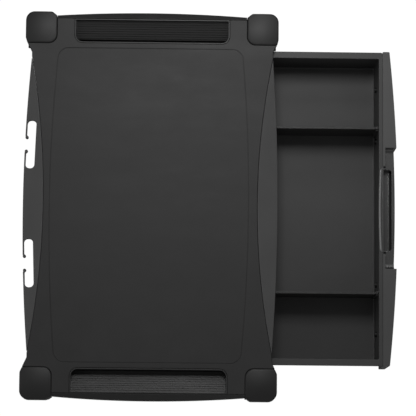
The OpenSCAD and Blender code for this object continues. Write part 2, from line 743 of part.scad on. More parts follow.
// Lift-out divider with a small window near its top edge
module divider(x) color([0.14, 0.14, 0.145])
    at_drawer() translate([x, 0, 0]) {
        front = inner_front_y + 0.2;
        back = drawer_back_y - drawer_wall - 0.2;
        bottom = floor_z + 0.1;
        top = rim_z - 1.2;
        window = [9, 4];
        window_y = drawer_open - 179;
        rotate([90, 0, 90]) linear_extrude(divider_t, center = true) difference() {
            intersection() {
                translate([(front + back) / 2, bottom + 50])
                    rounded_square(back - front, 100, floor_round + 0.5);
                translate([front, bottom]) square([back - front, top - bottom]);
            }
            translate([window_y, top - 6]) rounded_square(window[0], window[1], 1.5);
        }
        // Stiffening bead along the top edge
        for (s = [-1, 1]) translate([s * (divider_t / 2 + 0.3), (front + back) / 2, top - 0.9])
            cube([0.6 + eps, back - front - 10, 1.8], center = true);
    }

module drawer_glides() color([0.75, 0.75, 0.72])
    at_drawer() for (s = [-1, 1])
        translate([s * (drawer_w / 2 - 3.2), (drawer_front_y + drawer_back_y) / 2 + 60,
                   rim_z - rim_t - glide_t / 2])
            cube([3.4, drawer_d - 130, glide_t], center = true);

// Small blocks at the rear corners of the rim that meet a runner's end of travel
module drawer_stops() color([0.10, 0.10, 0.105])
    at_drawer() for (s = [-1, 1])
        translate([s * (drawer_w / 2 - 3.5), drawer_back_y - 3, rim_z + 1.2])
            cube([4.4, 4, 2.4], center = true);

module drawer_front_screws() color([0.45, 0.45, 0.46])
    at_drawer() for (x = front_screw_xs)
        translate([x, inner_front_y, front_screw_z]) rotate([90, 0, 0]) {
            translate([0, 0, -screw_head_h]) cylinder(r = screw_head_r, h = screw_head_h, $fn = round_fn);
            translate([0, 0, -1]) cylinder(r = screw_r, h = 10, $fn = round_fn);
        }

// ---------- nodes ----------

deck_plate();
front_bezel();
rear_cable_rail();
side_skirt(LEFT);  // side_skirt_left
side_skirt(RIGHT);  // side_skirt_right
side_tray(LEFT);  // side_tray_left
side_tray(RIGHT);  // side_tray_right
corner_cap(LEFT, FRONT);  // corner_cap_front_left
corner_cap(RIGHT, FRONT);  // corner_cap_front_right
corner_cap(LEFT, REAR);  // corner_cap_rear_left
corner_cap(RIGHT, REAR);  // corner_cap_rear_right
leg_upper(LEFT, FRONT);  // leg_upper_front_left
leg_upper(RIGHT, FRONT);  // leg_upper_front_right
leg_upper(LEFT, REAR);  // leg_upper_rear_left
leg_upper(RIGHT, REAR);  // leg_upper_rear_right
leg_lower(LEFT, FRONT);  // leg_lower_front_left
leg_lower(RIGHT, FRONT);  // leg_lower_front_right
leg_lower(LEFT, REAR);  // leg_lower_rear_left
leg_lower(RIGHT, REAR);  // leg_lower_rear_right
foot_pad(LEFT, FRONT);  // foot_pad_front_left
foot_pad(RIGHT, FRONT);  // foot_pad_front_right
foot_pad(LEFT, REAR);  // foot_pad_rear_left
foot_pad(RIGHT, REAR);  // foot_pad_rear_right
runner(LEFT);  // runner_left
runner(RIGHT);  // runner_right
rear_apron();
leg_screws();
deck_screws();
drawer_tray();
drawer_front();
drawer_pull();
divider(divider_left_x);  // divider_left
divider(divider_right_x);  // divider_right
drawer_glides();
drawer_stops();
drawer_front_screws();
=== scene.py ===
"""Desk riser with a pull-out drawer: its fine shapes, finishes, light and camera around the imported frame."""

import logging
import math
from collections.abc import Callable, Iterable, Sequence
from dataclasses import dataclass, field
from enum import Enum

import bmesh
import bpy
from mathutils import Matrix, Vector, geometry


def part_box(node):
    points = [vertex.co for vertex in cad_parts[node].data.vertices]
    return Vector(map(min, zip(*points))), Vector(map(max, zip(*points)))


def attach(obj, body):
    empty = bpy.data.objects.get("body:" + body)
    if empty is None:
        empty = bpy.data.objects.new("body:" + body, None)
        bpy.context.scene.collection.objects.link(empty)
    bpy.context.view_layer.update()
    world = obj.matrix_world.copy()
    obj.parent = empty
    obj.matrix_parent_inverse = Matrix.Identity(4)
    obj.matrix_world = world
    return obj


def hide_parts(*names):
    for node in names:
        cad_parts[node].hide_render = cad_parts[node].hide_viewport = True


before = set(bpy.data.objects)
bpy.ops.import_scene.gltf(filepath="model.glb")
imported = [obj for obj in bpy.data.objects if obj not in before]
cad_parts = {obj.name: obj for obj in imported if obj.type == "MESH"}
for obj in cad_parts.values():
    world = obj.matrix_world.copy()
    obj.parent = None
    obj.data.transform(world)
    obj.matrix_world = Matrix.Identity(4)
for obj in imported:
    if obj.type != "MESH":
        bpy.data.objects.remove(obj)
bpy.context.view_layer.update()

MM = 0.001
LOG = logging.getLogger("riser")

# Half the angle of a corner that is too flat to be rounded.
NEARLY_STRAIGHT = math.radians(89.5)
# Least cosine of a corner's half turn that a mitre divides by, so that its point stays near.
MITRE_LIMIT = 0.5
# Points of a triangulation that are nearer than this, in millimetres, become one.
MERGE_DISTANCE = 1e-6
# Angle in degrees above which a moulding's edge stays sharp.
SHARP_EDGE = 38
# Colour sockets of a Mix node: its two inputs and its output.
MIX_FIRST, MIX_SECOND, MIX_RESULT = 6, 7, 2

Loop = list[Vector]
Ring = list[bmesh.types.BMVert]
Height = float | Callable[[float, float], float]


class Side(Enum):
    """The stand's short sides."""

    LEFT = -1
    RIGHT = 1


class End(Enum):
    """The stand's long sides."""

    FRONT = -1
    REAR = 1


# ---------- plan outlines, in millimetres ----------


@dataclass(frozen=True)
class Box:
    """Lowest and highest corner of some CAD nodes, in millimetres."""

    low: Vector
    high: Vector

    @classmethod
    def of(cls, *nodes: str) -> "Box":
        """Box around the named CAD nodes.

        Args:
            nodes: Names of the CAD nodes.

        Returns:
            Their common box.
        """
        corners = [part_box(node) for node in nodes]
        low = Vector(min(c[0][i] for c in corners) / MM for i in range(3))
        high = Vector(max(c[1][i] for c in corners) / MM for i in range(3))
        return cls(low, high)

    @property
    def middle(self) -> Vector:
        """Middle of the box."""
        return (self.low + self.high) / 2

    @property
    def size(self) -> Vector:
        """Edge lengths of the box."""
        return self.high - self.low


def arc_radius(half: float, rise: float) -> float:
    """Radius of an arc with the given half chord and rise."""
    return (half * half + rise * rise) / (2 * rise)


def arc_drop(radius: float, x: float) -> float:
    """How far an arc falls back from its crown at the distance x from its middle."""
    return radius - math.sqrt(radius * radius - x * x)


def spread(start: float, stop: float, count: int) -> list[float]:
    """Evenly spread values from start to stop.

    Args:
        start: First value.
        stop: Last value.
        count: Number of steps.

    Returns:
        The count + 1 values.
    """
    return [start + (stop - start) * i / count for i in range(count + 1)]


def turn(middle: Sequence[float], radius: float, start: float, stop: float, step: float = 12) -> Loop:
    """Points of a circular arc.

    Args:
        middle: Middle of the circle.
        radius: Its radius.
        start: First angle in degrees.
        stop: Last angle in degrees.
        step: Largest angle between two points.

    Returns:
        The points from start to stop.
    """
    count = max(1, math.ceil(abs(stop - start) / step))
    angles = [math.radians(a) for a in spread(start, stop, count)]
    return [Vector((middle[0] + radius * math.cos(a), middle[1] + radius * math.sin(a))) for a in angles]


def rounded(corners: Iterable[tuple[float, float, float]], step: float = 12) -> Loop:
    """Closed outline whose corners are rounded.

    Args:
        corners: (x, y, radius) of each corner, counter-clockwise.
        step: Largest angle between two points of a corner's arc, in degrees.

    Returns:
        The outline's points.
    """
    corners = list(corners)
    loop: Loop = []
    for i, (x, y, radius) in enumerate(corners):
        corner = Vector((x, y))
        back = (Vector(corners[i - 1][:2]) - corner).normalized()
        ahead = (Vector(corners[(i + 1) % len(corners)][:2]) - corner).normalized()
        half = back.angle(ahead) / 2
        if radius <= 0 or half > NEARLY_STRAIGHT:
            loop.append(corner)
            continue
        middle = corner + (back + ahead).normalized() * (radius / math.sin(half))
        first = corner + back * (radius / math.tan(half)) - middle
        sweep = math.copysign(math.pi - 2 * half, back.x * ahead.y - back.y * ahead.x) * -1
        count = max(1, math.ceil(abs(math.degrees(sweep)) / step))
        loop += [middle + Matrix.Rotation(a, 2) @ first for a in spread(0, sweep, count)]
    return loop


def rectangle(width: float, depth: float, radius: float, middle: Sequence[float] = (0, 0),
              step: float = 12) -> Loop:
    """Rounded rectangle around a middle point.

    Args:
        width: Its size along x.
        depth: Its size along y.
        radius: Radius of its corners.
        middle: Its middle.
        step: Largest angle between two points of a corner's arc, in degrees.

    Returns:
        The outline, counter-clockwise.
    """
    x, y = width / 2, depth / 2
    corners = [(x, y), (-x, y), (-x, -y), (x, -y)]
    return rounded([(middle[0] + cx, middle[1] + cy, radius) for cx, cy in corners], step)


def mirrored(loop: Loop, side: Side, end: End) -> Loop:
    """An outline drawn for the rear right, mirrored to another side and end with its sense kept."""
    flipped = [Vector((side.value * p.x, end.value * p.y)) for p in loop]
    return flipped if side.value * end.value > 0 else flipped[::-1]


def moved(loop: Loop, x: float, y: float) -> Loop:
    """An outline moved in plan."""
    return [p + Vector((x, y)) for p in loop]


def mitre(before: Vector, after: Vector, distance: float) -> Vector:
    """Step of an outline's point when the edges beside it move to their right.

    Args:
        before: Direction of the edge that ends at the point.
        after: Direction of the edge that starts there.
        distance: How far the edges move; negative to the left.

    Returns:
        The step.
    """
    normal = Vector((before.y + after.y, -before.x - after.x)).normalized()
    stretch = max(MITRE_LIMIT, normal.dot(Vector((before.y, -before.x))))
    return normal * (distance / stretch)


def grown(loop: Loop, distance: float) -> Loop:
    """An outline grown outwards by a distance, or shrunk where the distance is negative.

    Args:
        loop: Counter-clockwise outline.
        distance: How far each edge moves out.

    Returns:
        The moved points, one for each point of the loop.
    """
    result: Loop = []
    for i, point in enumerate(loop):
        before = (point - loop[i - 1]).normalized()
        after = (loop[(i + 1) % len(loop)] - point).normalized()
        result.append(point + mitre(before, after, distance))
    return result


def divided(loop: Loop, longest: float) -> Loop:
    """Splits the long edges of an outline, so that a curved surface over it stays smooth.

    Args:
        loop: The outline.
        longest: Longest edge that stays whole.

    Returns:
        The same outline with more points.
    """
    points: Loop = []
    for i, p in enumerate(loop):
        q = loop[(i + 1) % len(loop)]
        parts = max(1, math.ceil((q - p).length / longest))
        points += [p.lerp(q, k / parts) for k in range(parts)]
    return points


def ribbon(path: Loop, thickness: float) -> Loop:
    """Outline of a strip of even thickness to the left of a path.

    Args:
        path: The path's points.
        thickness: Thickness of the strip.

    Returns:
        The closed outline.
    """
    left: Loop = []
    for i, point in enumerate(path):
        before = (point - path[i - 1]).normalized() if i else (path[1] - point).normalized()
        after = (path[i + 1] - point).normalized() if i + 1 < len(path) else before
        left.append(point + mitre(before, after, -thickness))
    return path + left[::-1]


def encloses(loop: Loop, point: Vector) -> bool:
    """Whether an outline encloses a point.

    Args:
        loop: The outline.
        point: The point.

    Returns:
        True inside the outline.
    """
    inside = False
    for a, b in zip(loop, loop[1:] + loop[:1]):
        if (a.y > point.y) != (b.y > point.y):
            crossing = a.x + (b.x - a.x) * (point.y - a.y) / (b.y - a.y)
            if point.x < crossing:
                inside = not inside
    return inside


# ---------- mouldings ----------


class Moulding:
    """A moulded piece that is built up in millimetres from walls, faces and skins."""

    round_steps = 4
    bar_step = 30
    bar_edge = 0.9

    def __init__(self, name: str) -> None:
        """Starts an empty moulding.

        Args:
            name: Name of the piece.
        """
        self.name = name
        self.mesh = bmesh.new()

    def ring(self, loop: Loop, height: Height, lift: float = 0) -> Ring:
        """Puts an outline's points at a height.

        Args:
            loop: The outline.
            height: Height, or a function of x and y that gives it.
            lift: What is added to the height.

        Returns:
            The new vertices.
        """
        level = height if callable(height) else lambda x, y: height
        return [self.mesh.verts.new((p.x, p.y, level(p.x, p.y) + lift)) for p in loop]

    def skin(self, rings: Sequence[Ring], closed: bool = True) -> None:
        """Joins rings of equal length with quads.

        Args:
            rings: The rings in order.
            closed: Whether each ring closes on itself.
        """
        for low, high in zip(rings, rings[1:]):
            count = len(low)
            for i in range(count if closed else count - 1):
                k = (i + 1) % count
                self.mesh.faces.new((low[i], low[k], high[k], high[i]))

    def plate(self, grid: Sequence[Sequence[Sequence[float]]], thickness: float) -> None:
        """Lays a plate of even thickness under a grid of points.

        Args:
            grid: Rows of points of the plate's upper face.
            thickness: Its thickness.
        """
        upper = [[self.mesh.verts.new(p) for p in row] for row in grid]
        lower = [[self.mesh.verts.new((p[0], p[1], p[2] - thickness)) for p in row] for row in grid]
        self.skin(upper, closed=False)
        self.skin(lower, closed=False)

        def border(rows: list[Ring]) -> Ring:
            """Vertices round the edge of a grid."""
            sides = rows[0][:-1] + [r[-1] for r in rows[:-1]]
            return sides + rows[-1][:0:-1] + [r[0] for r in rows[:0:-1]]

        self.skin([border(upper), border(lower)])

    def cap(self, ring: Ring) -> None:
        """Closes a flat or gently domed ring with one face."""
        self.mesh.faces.new(ring)

    def face(self, *rings: Ring, height: Height = 0, inner: Iterable[Sequence[float]] = ()) -> None:
        """Fills between an outer ring and the rings inside it.

        Args:
            rings: The outer ring and the rings of its holes.
            height: Height of the points that are added inside.
            inner: Plan points added inside the face, where it isn't flat.
        """
        verts = [v for ring in rings for v in ring]
        edges, start = [], 0
        for ring in rings:
            edges += [(start + i, start + (i + 1) % len(ring)) for i in range(len(ring))]
            start += len(ring)
        verts += self.ring([Vector(p) for p in inner], height)
        holes = [[v.co.xy for v in ring] for ring in rings[1:]]
        triangles_inside = 1
        places, _, faces, sources, _, _ = geometry.delaunay_2d_cdt(
            [v.co.xy for v in verts], edges, [], triangles_inside, MERGE_DISTANCE)
        for triangle in faces:
            middle = sum((places[i] for i in triangle), Vector((0, 0))) / 3
            if not any(encloses(hole, middle) for hole in holes):
                self.mesh.faces.new([verts[sources[i][0]] for i in triangle])

    def wall(self, loop: Loop, low: Height, high: Height, low_r: float = 0, high_r: float = 0,
             hollow: bool = False, share: Callable[[Vector], float] = lambda p: 1.0) -> tuple[Ring, Ring]:
        """Raises a wall along an outline, with its edges rounded.

        Args:
            loop: Counter-clockwise outline.
            low: Height of the wall's foot.
            high: Height of its top.
            low_r: Rounding of the foot towards the material; negative for a fillet into the hollow.
            high_r: Rounding of the top towards the material.
            hollow: Whether the wall goes round a hollow, with the material outside it.
            share: Share of the rounding that a point of the outline gets.

        Returns:
            The rings at the wall's foot and top.
        """
        inwards = 1 if hollow else -1
        shares = [share(p) for p in loop]
        rings = []
        for radius, level, sign in ((low_r, low, 1), (high_r, high, -1)):
            height = level if callable(level) else lambda x, y, z=level: z
            r, side = abs(radius), inwards if radius > 0 else -inwards
            arcs = spread(0, 90, self.round_steps) if radius else [90]
            steps = []
            for a in (math.radians(d) for d in arcs):
                far = grown(loop, side * (r - r * math.cos(a)))
                places = [p.lerp(q, s) for p, q, s in zip(loop, far, shares)]
                rise = sign * (r - r * math.sin(a))
                steps.append([self.mesh.verts.new((q.x, q.y, height(q.x, q.y) + rise * s))
                              for q, s in zip(places, shares)])
            rings.append(steps)
        self.skin(rings[0][::-1] + rings[1])
        return rings[0][-1], rings[1][-1]

    def block(self, loop: Loop, low: Height, high: Height, low_r: float = 0, high_r: float = 0,
              plain: bool = False) -> None:
        """Adds a solid block over an outline.

        Args:
            loop: Counter-clockwise outline.
            low: Height of its foot.
            high: Height of its top.
            low_r: Rounding of the foot.
            high_r: Rounding of the top.
            plain: Whether a single face closes each end; only for an outline without hollows.
        """
        for ring in self.wall(loop, low, high, low_r, high_r):
            if plain:
                self.cap(ring)
            else:
                self.face(ring)

    def bar(self, low: Sequence[float], high: Sequence[float], radius: float = 0.3) -> None:
        """Adds an upright block with rounded plan corners and edges.

        Args:
            low: Its lowest corner.
            high: Its highest corner.
            radius: Rounding of its edges.
        """
        width, depth = high[0] - low[0], high[1] - low[1]
        middle = ((low[0] + high[0]) / 2, (low[1] + high[1]) / 2)
        edge_r = radius * self.bar_edge
        self.block(rectangle(width, depth, radius, middle, self.bar_step), low[2], high[2], edge_r, edge_r,
                   plain=True)

    def place(self, matrix: Matrix) -> None:
        """Turns and moves all that is built so far."""
        bmesh.ops.transform(self.mesh, matrix=matrix, verts=self.mesh.verts)

    def finish(self, body: str, material: bpy.types.Material, slot: str, replaces: Sequence[str],
               sharp: float = SHARP_EDGE) -> None:
        """Turns the moulding into a piece in metres that rides on a body.

        Args:
            body: Name of the CAD body.
            material: The piece's material.
            slot: The record's material slot; not used.
            replaces: CAD nodes that the piece stands for.
            sharp: Angle in degrees above which an edge stays sharp.
        """
        bmesh.ops.recalc_face_normals(self.mesh, faces=self.mesh.faces)
        bmesh.ops.scale(self.mesh, vec=(MM, MM, MM), verts=self.mesh.verts)
        data = bpy.data.meshes.new(self.name)
        self.mesh.to_mesh(data)
        self.mesh.free()
        data.shade_smooth()
        data.set_sharp_from_angle(angle=math.radians(sharp))
        data.materials.append(material)
        piece = bpy.data.objects.new(self.name, data)
        bpy.context.scene.collection.objects.link(piece)
        normals = piece.modifiers.new("weighted normals", "WEIGHTED_NORMAL")
        normals.keep_sharp = True
        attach(piece, body)
        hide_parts(*replaces)
        LOG.info("%s: %d faces, on %s", self.name, len(data.polygons), body)


# ---------- shader trees ----------


class Signal:
    """One shader socket; arithmetic on it adds Math nodes."""

    def __init__(self, tree: "ShaderTree", socket: bpy.types.NodeSocket) -> None:
        """Wraps a socket.

        Args:
            tree: The tree that holds the socket.
            socket: The wrapped output socket.
        """
        self.tree = tree
        self.socket = socket

    def _math(self, operation: str, first: "Signal | float", second: "Signal | float") -> "Signal":
        """Adds a Math node with two inputs."""
        return self.tree.add("ShaderNodeMath", {"operation": operation}, {0: first, 1: second})

    def __add__(self, other: "Signal | float") -> "Signal":
        """self + other."""
        return self._math("ADD", self, other)

    __radd__ = __add__

    def __mul__(self, other: "Signal | float") -> "Signal":
        """self * other."""
        return self._math("MULTIPLY", self, other)

    __rmul__ = __mul__

    def __sub__(self, other: "Signal | float") -> "Signal":
        """self - other."""
        return self._math("SUBTRACT", self, other)

    def __rsub__(self, other: float) -> "Signal":
        """other - self."""
        return self._math("SUBTRACT", other, self)

    def stretched(self, low: float, high: float) -> "Signal":
        """This signal with low mapped to 0 and high to 1, and clamped between them."""
        return self.tree.add("ShaderNodeMapRange", {"clamp": True}, {0: self, 1: low, 2: high})


class ShaderTree:
    """Node tree of one material or world."""

    def __init__(self, owner: bpy.types.Material | bpy.types.World) -> None:
        """Empties the owner's tree.

        Args:
            owner: The material or world.
        """
        owner.use_nodes = True
        self.nodes = owner.node_tree.nodes
        self.links = owner.node_tree.links
        self.nodes.clear()

    def add(self, kind: str, settings: dict | None = None, inputs: dict | None = None,
            output: int | str = 0) -> Signal:
        """Adds a node.

        Args:
            kind: Blender's type name of the node.
            settings: Its properties.
            inputs: Values or signals for its input sockets.
            output: The output that the returned signal stands for.

        Returns:
            The node's output, or the first input of a node that has none.
        """
        node = self.nodes.new(kind)
        for key, value in (settings or {}).items():
            setattr(node, key, value)
        for key, value in (inputs or {}).items():
            if isinstance(value, Signal):
                self.links.new(value.socket, node.inputs[key])
            else:
                node.inputs[key].default_value = value
        return Signal(self, node.outputs[output] if node.outputs else node.inputs[0])

    def spots(self, size: float, detail: float, roughness: float,
              stretch: Sequence[float] = (1, 1, 1)) -> Signal:
        """Noise over the surface.

        Args:
            size: Size of its spots in millimetres.
            detail: Octaves of finer noise.
            roughness: Strength of the finer noise.
            stretch: How much denser the noise is along each axis.

        Returns:
            Noise from 0 to 1, mostly near 0.5.
        """
        place = self.add("ShaderNodeTexCoord", output="Object")
        place = self.add("ShaderNodeMapping", inputs={"Vector": place, "Scale": tuple(stretch)})
        return self.add("ShaderNodeTexNoise", inputs={"Vector": place, "Scale": 1 / (size * MM),
                                                      "Detail": detail, "Roughness": roughness})

    def tint(self, dark: float, light: float, share: Signal) -> Signal:
        """A grey between two tones, by share."""
        colours = {MIX_FIRST: (dark, dark, dark, 1), MIX_SECOND: (light, light, light, 1)}
        return self.add("ShaderNodeMix", {"data_type": "RGBA"}, {0: share, **colours}, output=MIX_RESULT)


@dataclass(frozen=True)
class Plastic:
    """Moulded plastic with a fine spark-eroded grain; its sizes are in millimetres."""

    name: str
    slot: str
    tone: float
    roughness: float
    grain_size: float
    grain_depth: float
    tone_spread: float = 0.12
    roughness_spread: float = 0.08
    gloss: float = 0.31
    coat: float = 0
    coat_roughness: float = 0.14
    cloud_size: float = 60
    cloud_range: tuple[float, float] = (0.3, 0.7)
    rub_size: float = 35
    rub_range: tuple[float, float] = (0.45, 0.75)
    rub_stretch: tuple[float, float, float] = (1, 0.25, 1)
    dust_size: float = 1.1
    dust_range: tuple[float, float] = (0.66, 0.78)
    tone_shares: tuple[float, float, float] = (0.6, 0.3, 0.25)
    roughness_shares: tuple[float, float, float] = (0.4, 0.6, 0.5)

    def material(self) -> bpy.types.Material:
        """Builds the material.

        Returns:
            A new material with grain, clouding and faint handling marks.
        """
        material = bpy.data.materials.new(self.name)
        tree = ShaderTree(material)
        clouds = tree.spots(self.cloud_size, detail=3, roughness=0.55).stretched(*self.cloud_range)
        grain = tree.spots(self.grain_size, detail=2, roughness=0.6)
        rubbed = tree.spots(self.rub_size, detail=4, roughness=0.7, stretch=self.rub_stretch)
        rubbed = rubbed.stretched(*self.rub_range)
        dust = tree.spots(self.dust_size, detail=1, roughness=0.5).stretched(*self.dust_range)
        cloudy, grainy, dusty = self.tone_shares
        share = clouds * cloudy + grain * grainy + dust * dusty
        colour = tree.tint(self.tone * (1 - self.tone_spread), self.tone * (1 + self.tone_spread), share)
        cloudy, grainy, worn = (self.roughness_spread * part for part in self.roughness_shares)
        rough = self.roughness - self.roughness_spread / 2 + clouds * cloudy + grain * grainy - rubbed * worn
        bump = tree.add("ShaderNodeBump", inputs={"Strength": 1.0, "Distance": self.grain_depth * MM,
                                                  "Height": grain})
        shader = tree.add("ShaderNodeBsdfPrincipled", inputs={
            "Base Color": colour, "Roughness": rough, "Normal": bump, "Specular IOR Level": self.gloss,
            "Coat Weight": self.coat, "Coat Roughness": self.coat_roughness})
        tree.add("ShaderNodeOutputMaterial", inputs={"Surface": shader})
        return material


@dataclass(frozen=True)
class Steel:
    """Blackened steel of the screws, with turning marks and worn spots; sizes are in millimetres."""

    name: str = "blackened steel"
    slot: str = "screw_steel"
    tone: float = 0.025
    tone_range: tuple[float, float] = (0.75, 1.3)
    roughness: float = 0.55
    worn_size: float = 1.5
    worn_range: tuple[float, float] = (0.4, 0.7)
    worn_polish: float = 0.12
    mark_size: float = 0.25
    mark_depth: float = 0.02

    def material(self) -> bpy.types.Material:
        """Builds the material.

        Returns:
            The new material.
        """
        material = bpy.data.materials.new(self.name)
        tree = ShaderTree(material)
        worn = tree.spots(self.worn_size, detail=3, roughness=0.6).stretched(*self.worn_range)
        marks = tree.spots(self.mark_size, detail=1, roughness=0.5, stretch=(1, 1, 4))
        colour = tree.tint(*(self.tone * part for part in self.tone_range), worn)
        bump = tree.add("ShaderNodeBump", inputs={"Strength": 0.6, "Distance": self.mark_depth * MM,
                                                  "Height": marks})
        shader = tree.add("ShaderNodeBsdfPrincipled", inputs={
            "Base Color": colour, "Metallic": 1.0, "Roughness": worn * -self.worn_polish + self.roughness,
            "Normal": bump})
        tree.add("ShaderNodeOutputMaterial", inputs={"Surface": shader})
        return material


# Name, slot, tone, roughness, size and depth of the grain.
DECK = Plastic("deck plastic", "deck_plastic", 0.0125, 0.52, 0.45, 0.05, tone_spread=0.2, cloud_size=28)
RAIL = Plastic("rail plastic", "rail_plastic", 0.0425, 0.48, 0.35, 0.02, gloss=0.375)
CAP = Plastic("cap plastic", "cap_plastic", 0.0112, 0.46, 0.4, 0.02, gloss=0.262)
# The leg plastic is black, and darkened further so that the legs' sides read as shaded: partly its own colour,
# partly painted shade.
LEG_DARKENED_FOR_SHADE = Plastic("leg plastic with painted shade", "leg_plastic", 0.01, 0.58, 0.45, 0.04)
SIDE_TRAY = Plastic("side tray plastic", "side_tray_plastic", 0.0175, 0.44, 0.4, 0.03)
RUNNER = Plastic("runner plastic", "runner_plastic", 0.0125, 0.5, 0.4, 0.03)
DRAWER = Plastic("drawer plastic", "drawer_plastic", 0.038, 0.44, 0.4, 0.025, gloss=0.24)
FRONT = Plastic("drawer front plastic", "front_plastic", 0.0413, 0.45, 0.35, 0.02, gloss=0.375)
PULL = Plastic("pull plastic", "pull_plastic", 0.0225, 0.27, 0.35, 0.008, gloss=0.5, coat=0.62)
# The bead's plastic is much lighter than the pull's so that its top reads as a bright line: painted highlight
# on top of its real gloss.
BEAD_LIGHTENED_FOR_HIGHLIGHT = Plastic("bead plastic with painted highlight", "pull_plastic", 0.125, 0.3, 0.35, 0.01, gloss=0.625, coat=0.62)
DIVIDER = Plastic("divider plastic", "divider_plastic", 0.0187, 0.42, 0.4, 0.02)
GLIDE = Plastic("glide plastic", "glide_plastic", 0.5, 0.45, 0.6, 0.02)
RUBBER = Plastic("foot rubber", "foot_rubber", 0.01, 0.8, 0.7, 0.06, gloss=0.187)
STEEL = Steel()


# ---------- stand ----------


@dataclass
class StandPlan:
    """Sizes of the stand, in millimetres; places are taken from the frame."""

    gap: float = 0.25
    rail_w: float = 26.3
    rail_half_l: float = 191
    front_bow: float = 7
    rear_bow: float = 8.5
    rail_slope: float = 11
    flank_slope: float = 24.5
    flank_in: float = 3
    flank_r: float = 5
    flank_tip_r: float = 2.5
    flank_gap: float = 0.1
    cap_r: float = 11
    skirt_flank: tuple[float, float] = (5, 6.3)
    slot_x: float = 76.5
    wall: float = 2.4
    edge_r: float = 0.7
    deck: Box = field(default_factory=lambda: Box.of("deck_plate"))
    corners: Box = field(default_factory=lambda: Box.of(
        "corner_cap_front_left", "corner_cap_rear_right"))
    cap: Box = field(default_factory=lambda: Box.of("corner_cap_rear_right"))
    tray: Box = field(default_factory=lambda: Box.of("side_tray_right"))
    skirt: Box = field(default_factory=lambda: Box.of("side_skirt_right"))
    rail: Box = field(default_factory=lambda: Box.of("rear_cable_rail"))

    @property
    def middle_y(self) -> float:
        """Y of the stand's middle."""
        return self.corners.middle.y

    @property
    def half_d(self) -> float:
        """Distance of the caps' outer faces from the stand's middle."""
        return self.corners.size.y / 2

    @property
    def deck_z(self) -> float:
        """Height of the deck."""
        return self.deck.high.z

    @property
    def crease_y(self) -> float:
        """Distance of the rails' inner edges from the stand's middle, at half length."""
        return self.half_d - self.rail_w

    def bow(self, end: End) -> float:
        """Bow of the front or rear edge."""
        return self.front_bow if end is End.FRONT else self.rear_bow

    def edge_radius(self, end: End) -> float:
        """Radius of the front or rear edge."""
        return arc_radius(self.rail_half_l, self.bow(end))

    def crease_radius(self, end: End) -> float:
        """Radius of a rail's inner edge."""
        return arc_radius(self.rail_half_l, self.rail_w - self.bow(end))

    def rail_top(self, end: End) -> Callable[[float, float], float]:
        """Height of a rail's sloping top.

        Args:
            end: Front or rear rail.

        Returns:
            A function of x and y in the frame.
        """
        radius = self.crease_radius(end)
        middle = Vector((0, self.middle_y + end.value * (self.crease_y + radius)))
        slope = math.tan(math.radians(self.rail_slope))

        def height(x: float, y: float) -> float:
            """Height at a place on the rail."""
            return self.deck_z - max(0.0, radius - (Vector((x, y)) - middle).length) * slope

        return height

    def cap_loop(self) -> Loop:
        """Plan of the rear right cap: round corners and two slanted flanks.

        Returns:
            The outline about the cap's own middle.
        """
        half = self.cap.size.x / 2
        run = math.tan(math.radians(self.flank_slope))
        corners = [
            (half, half, self.cap_r),
            (-half + self.flank_in / run, half, self.flank_r),
            (-half, half - self.flank_in, self.flank_tip_r),
            (-half, -half, self.cap_r),
            (half - self.skirt_flank[0], -half, self.flank_tip_r),
            (half, -half + self.skirt_flank[1], self.flank_r),
        ]
        return rounded(corners, step=10)


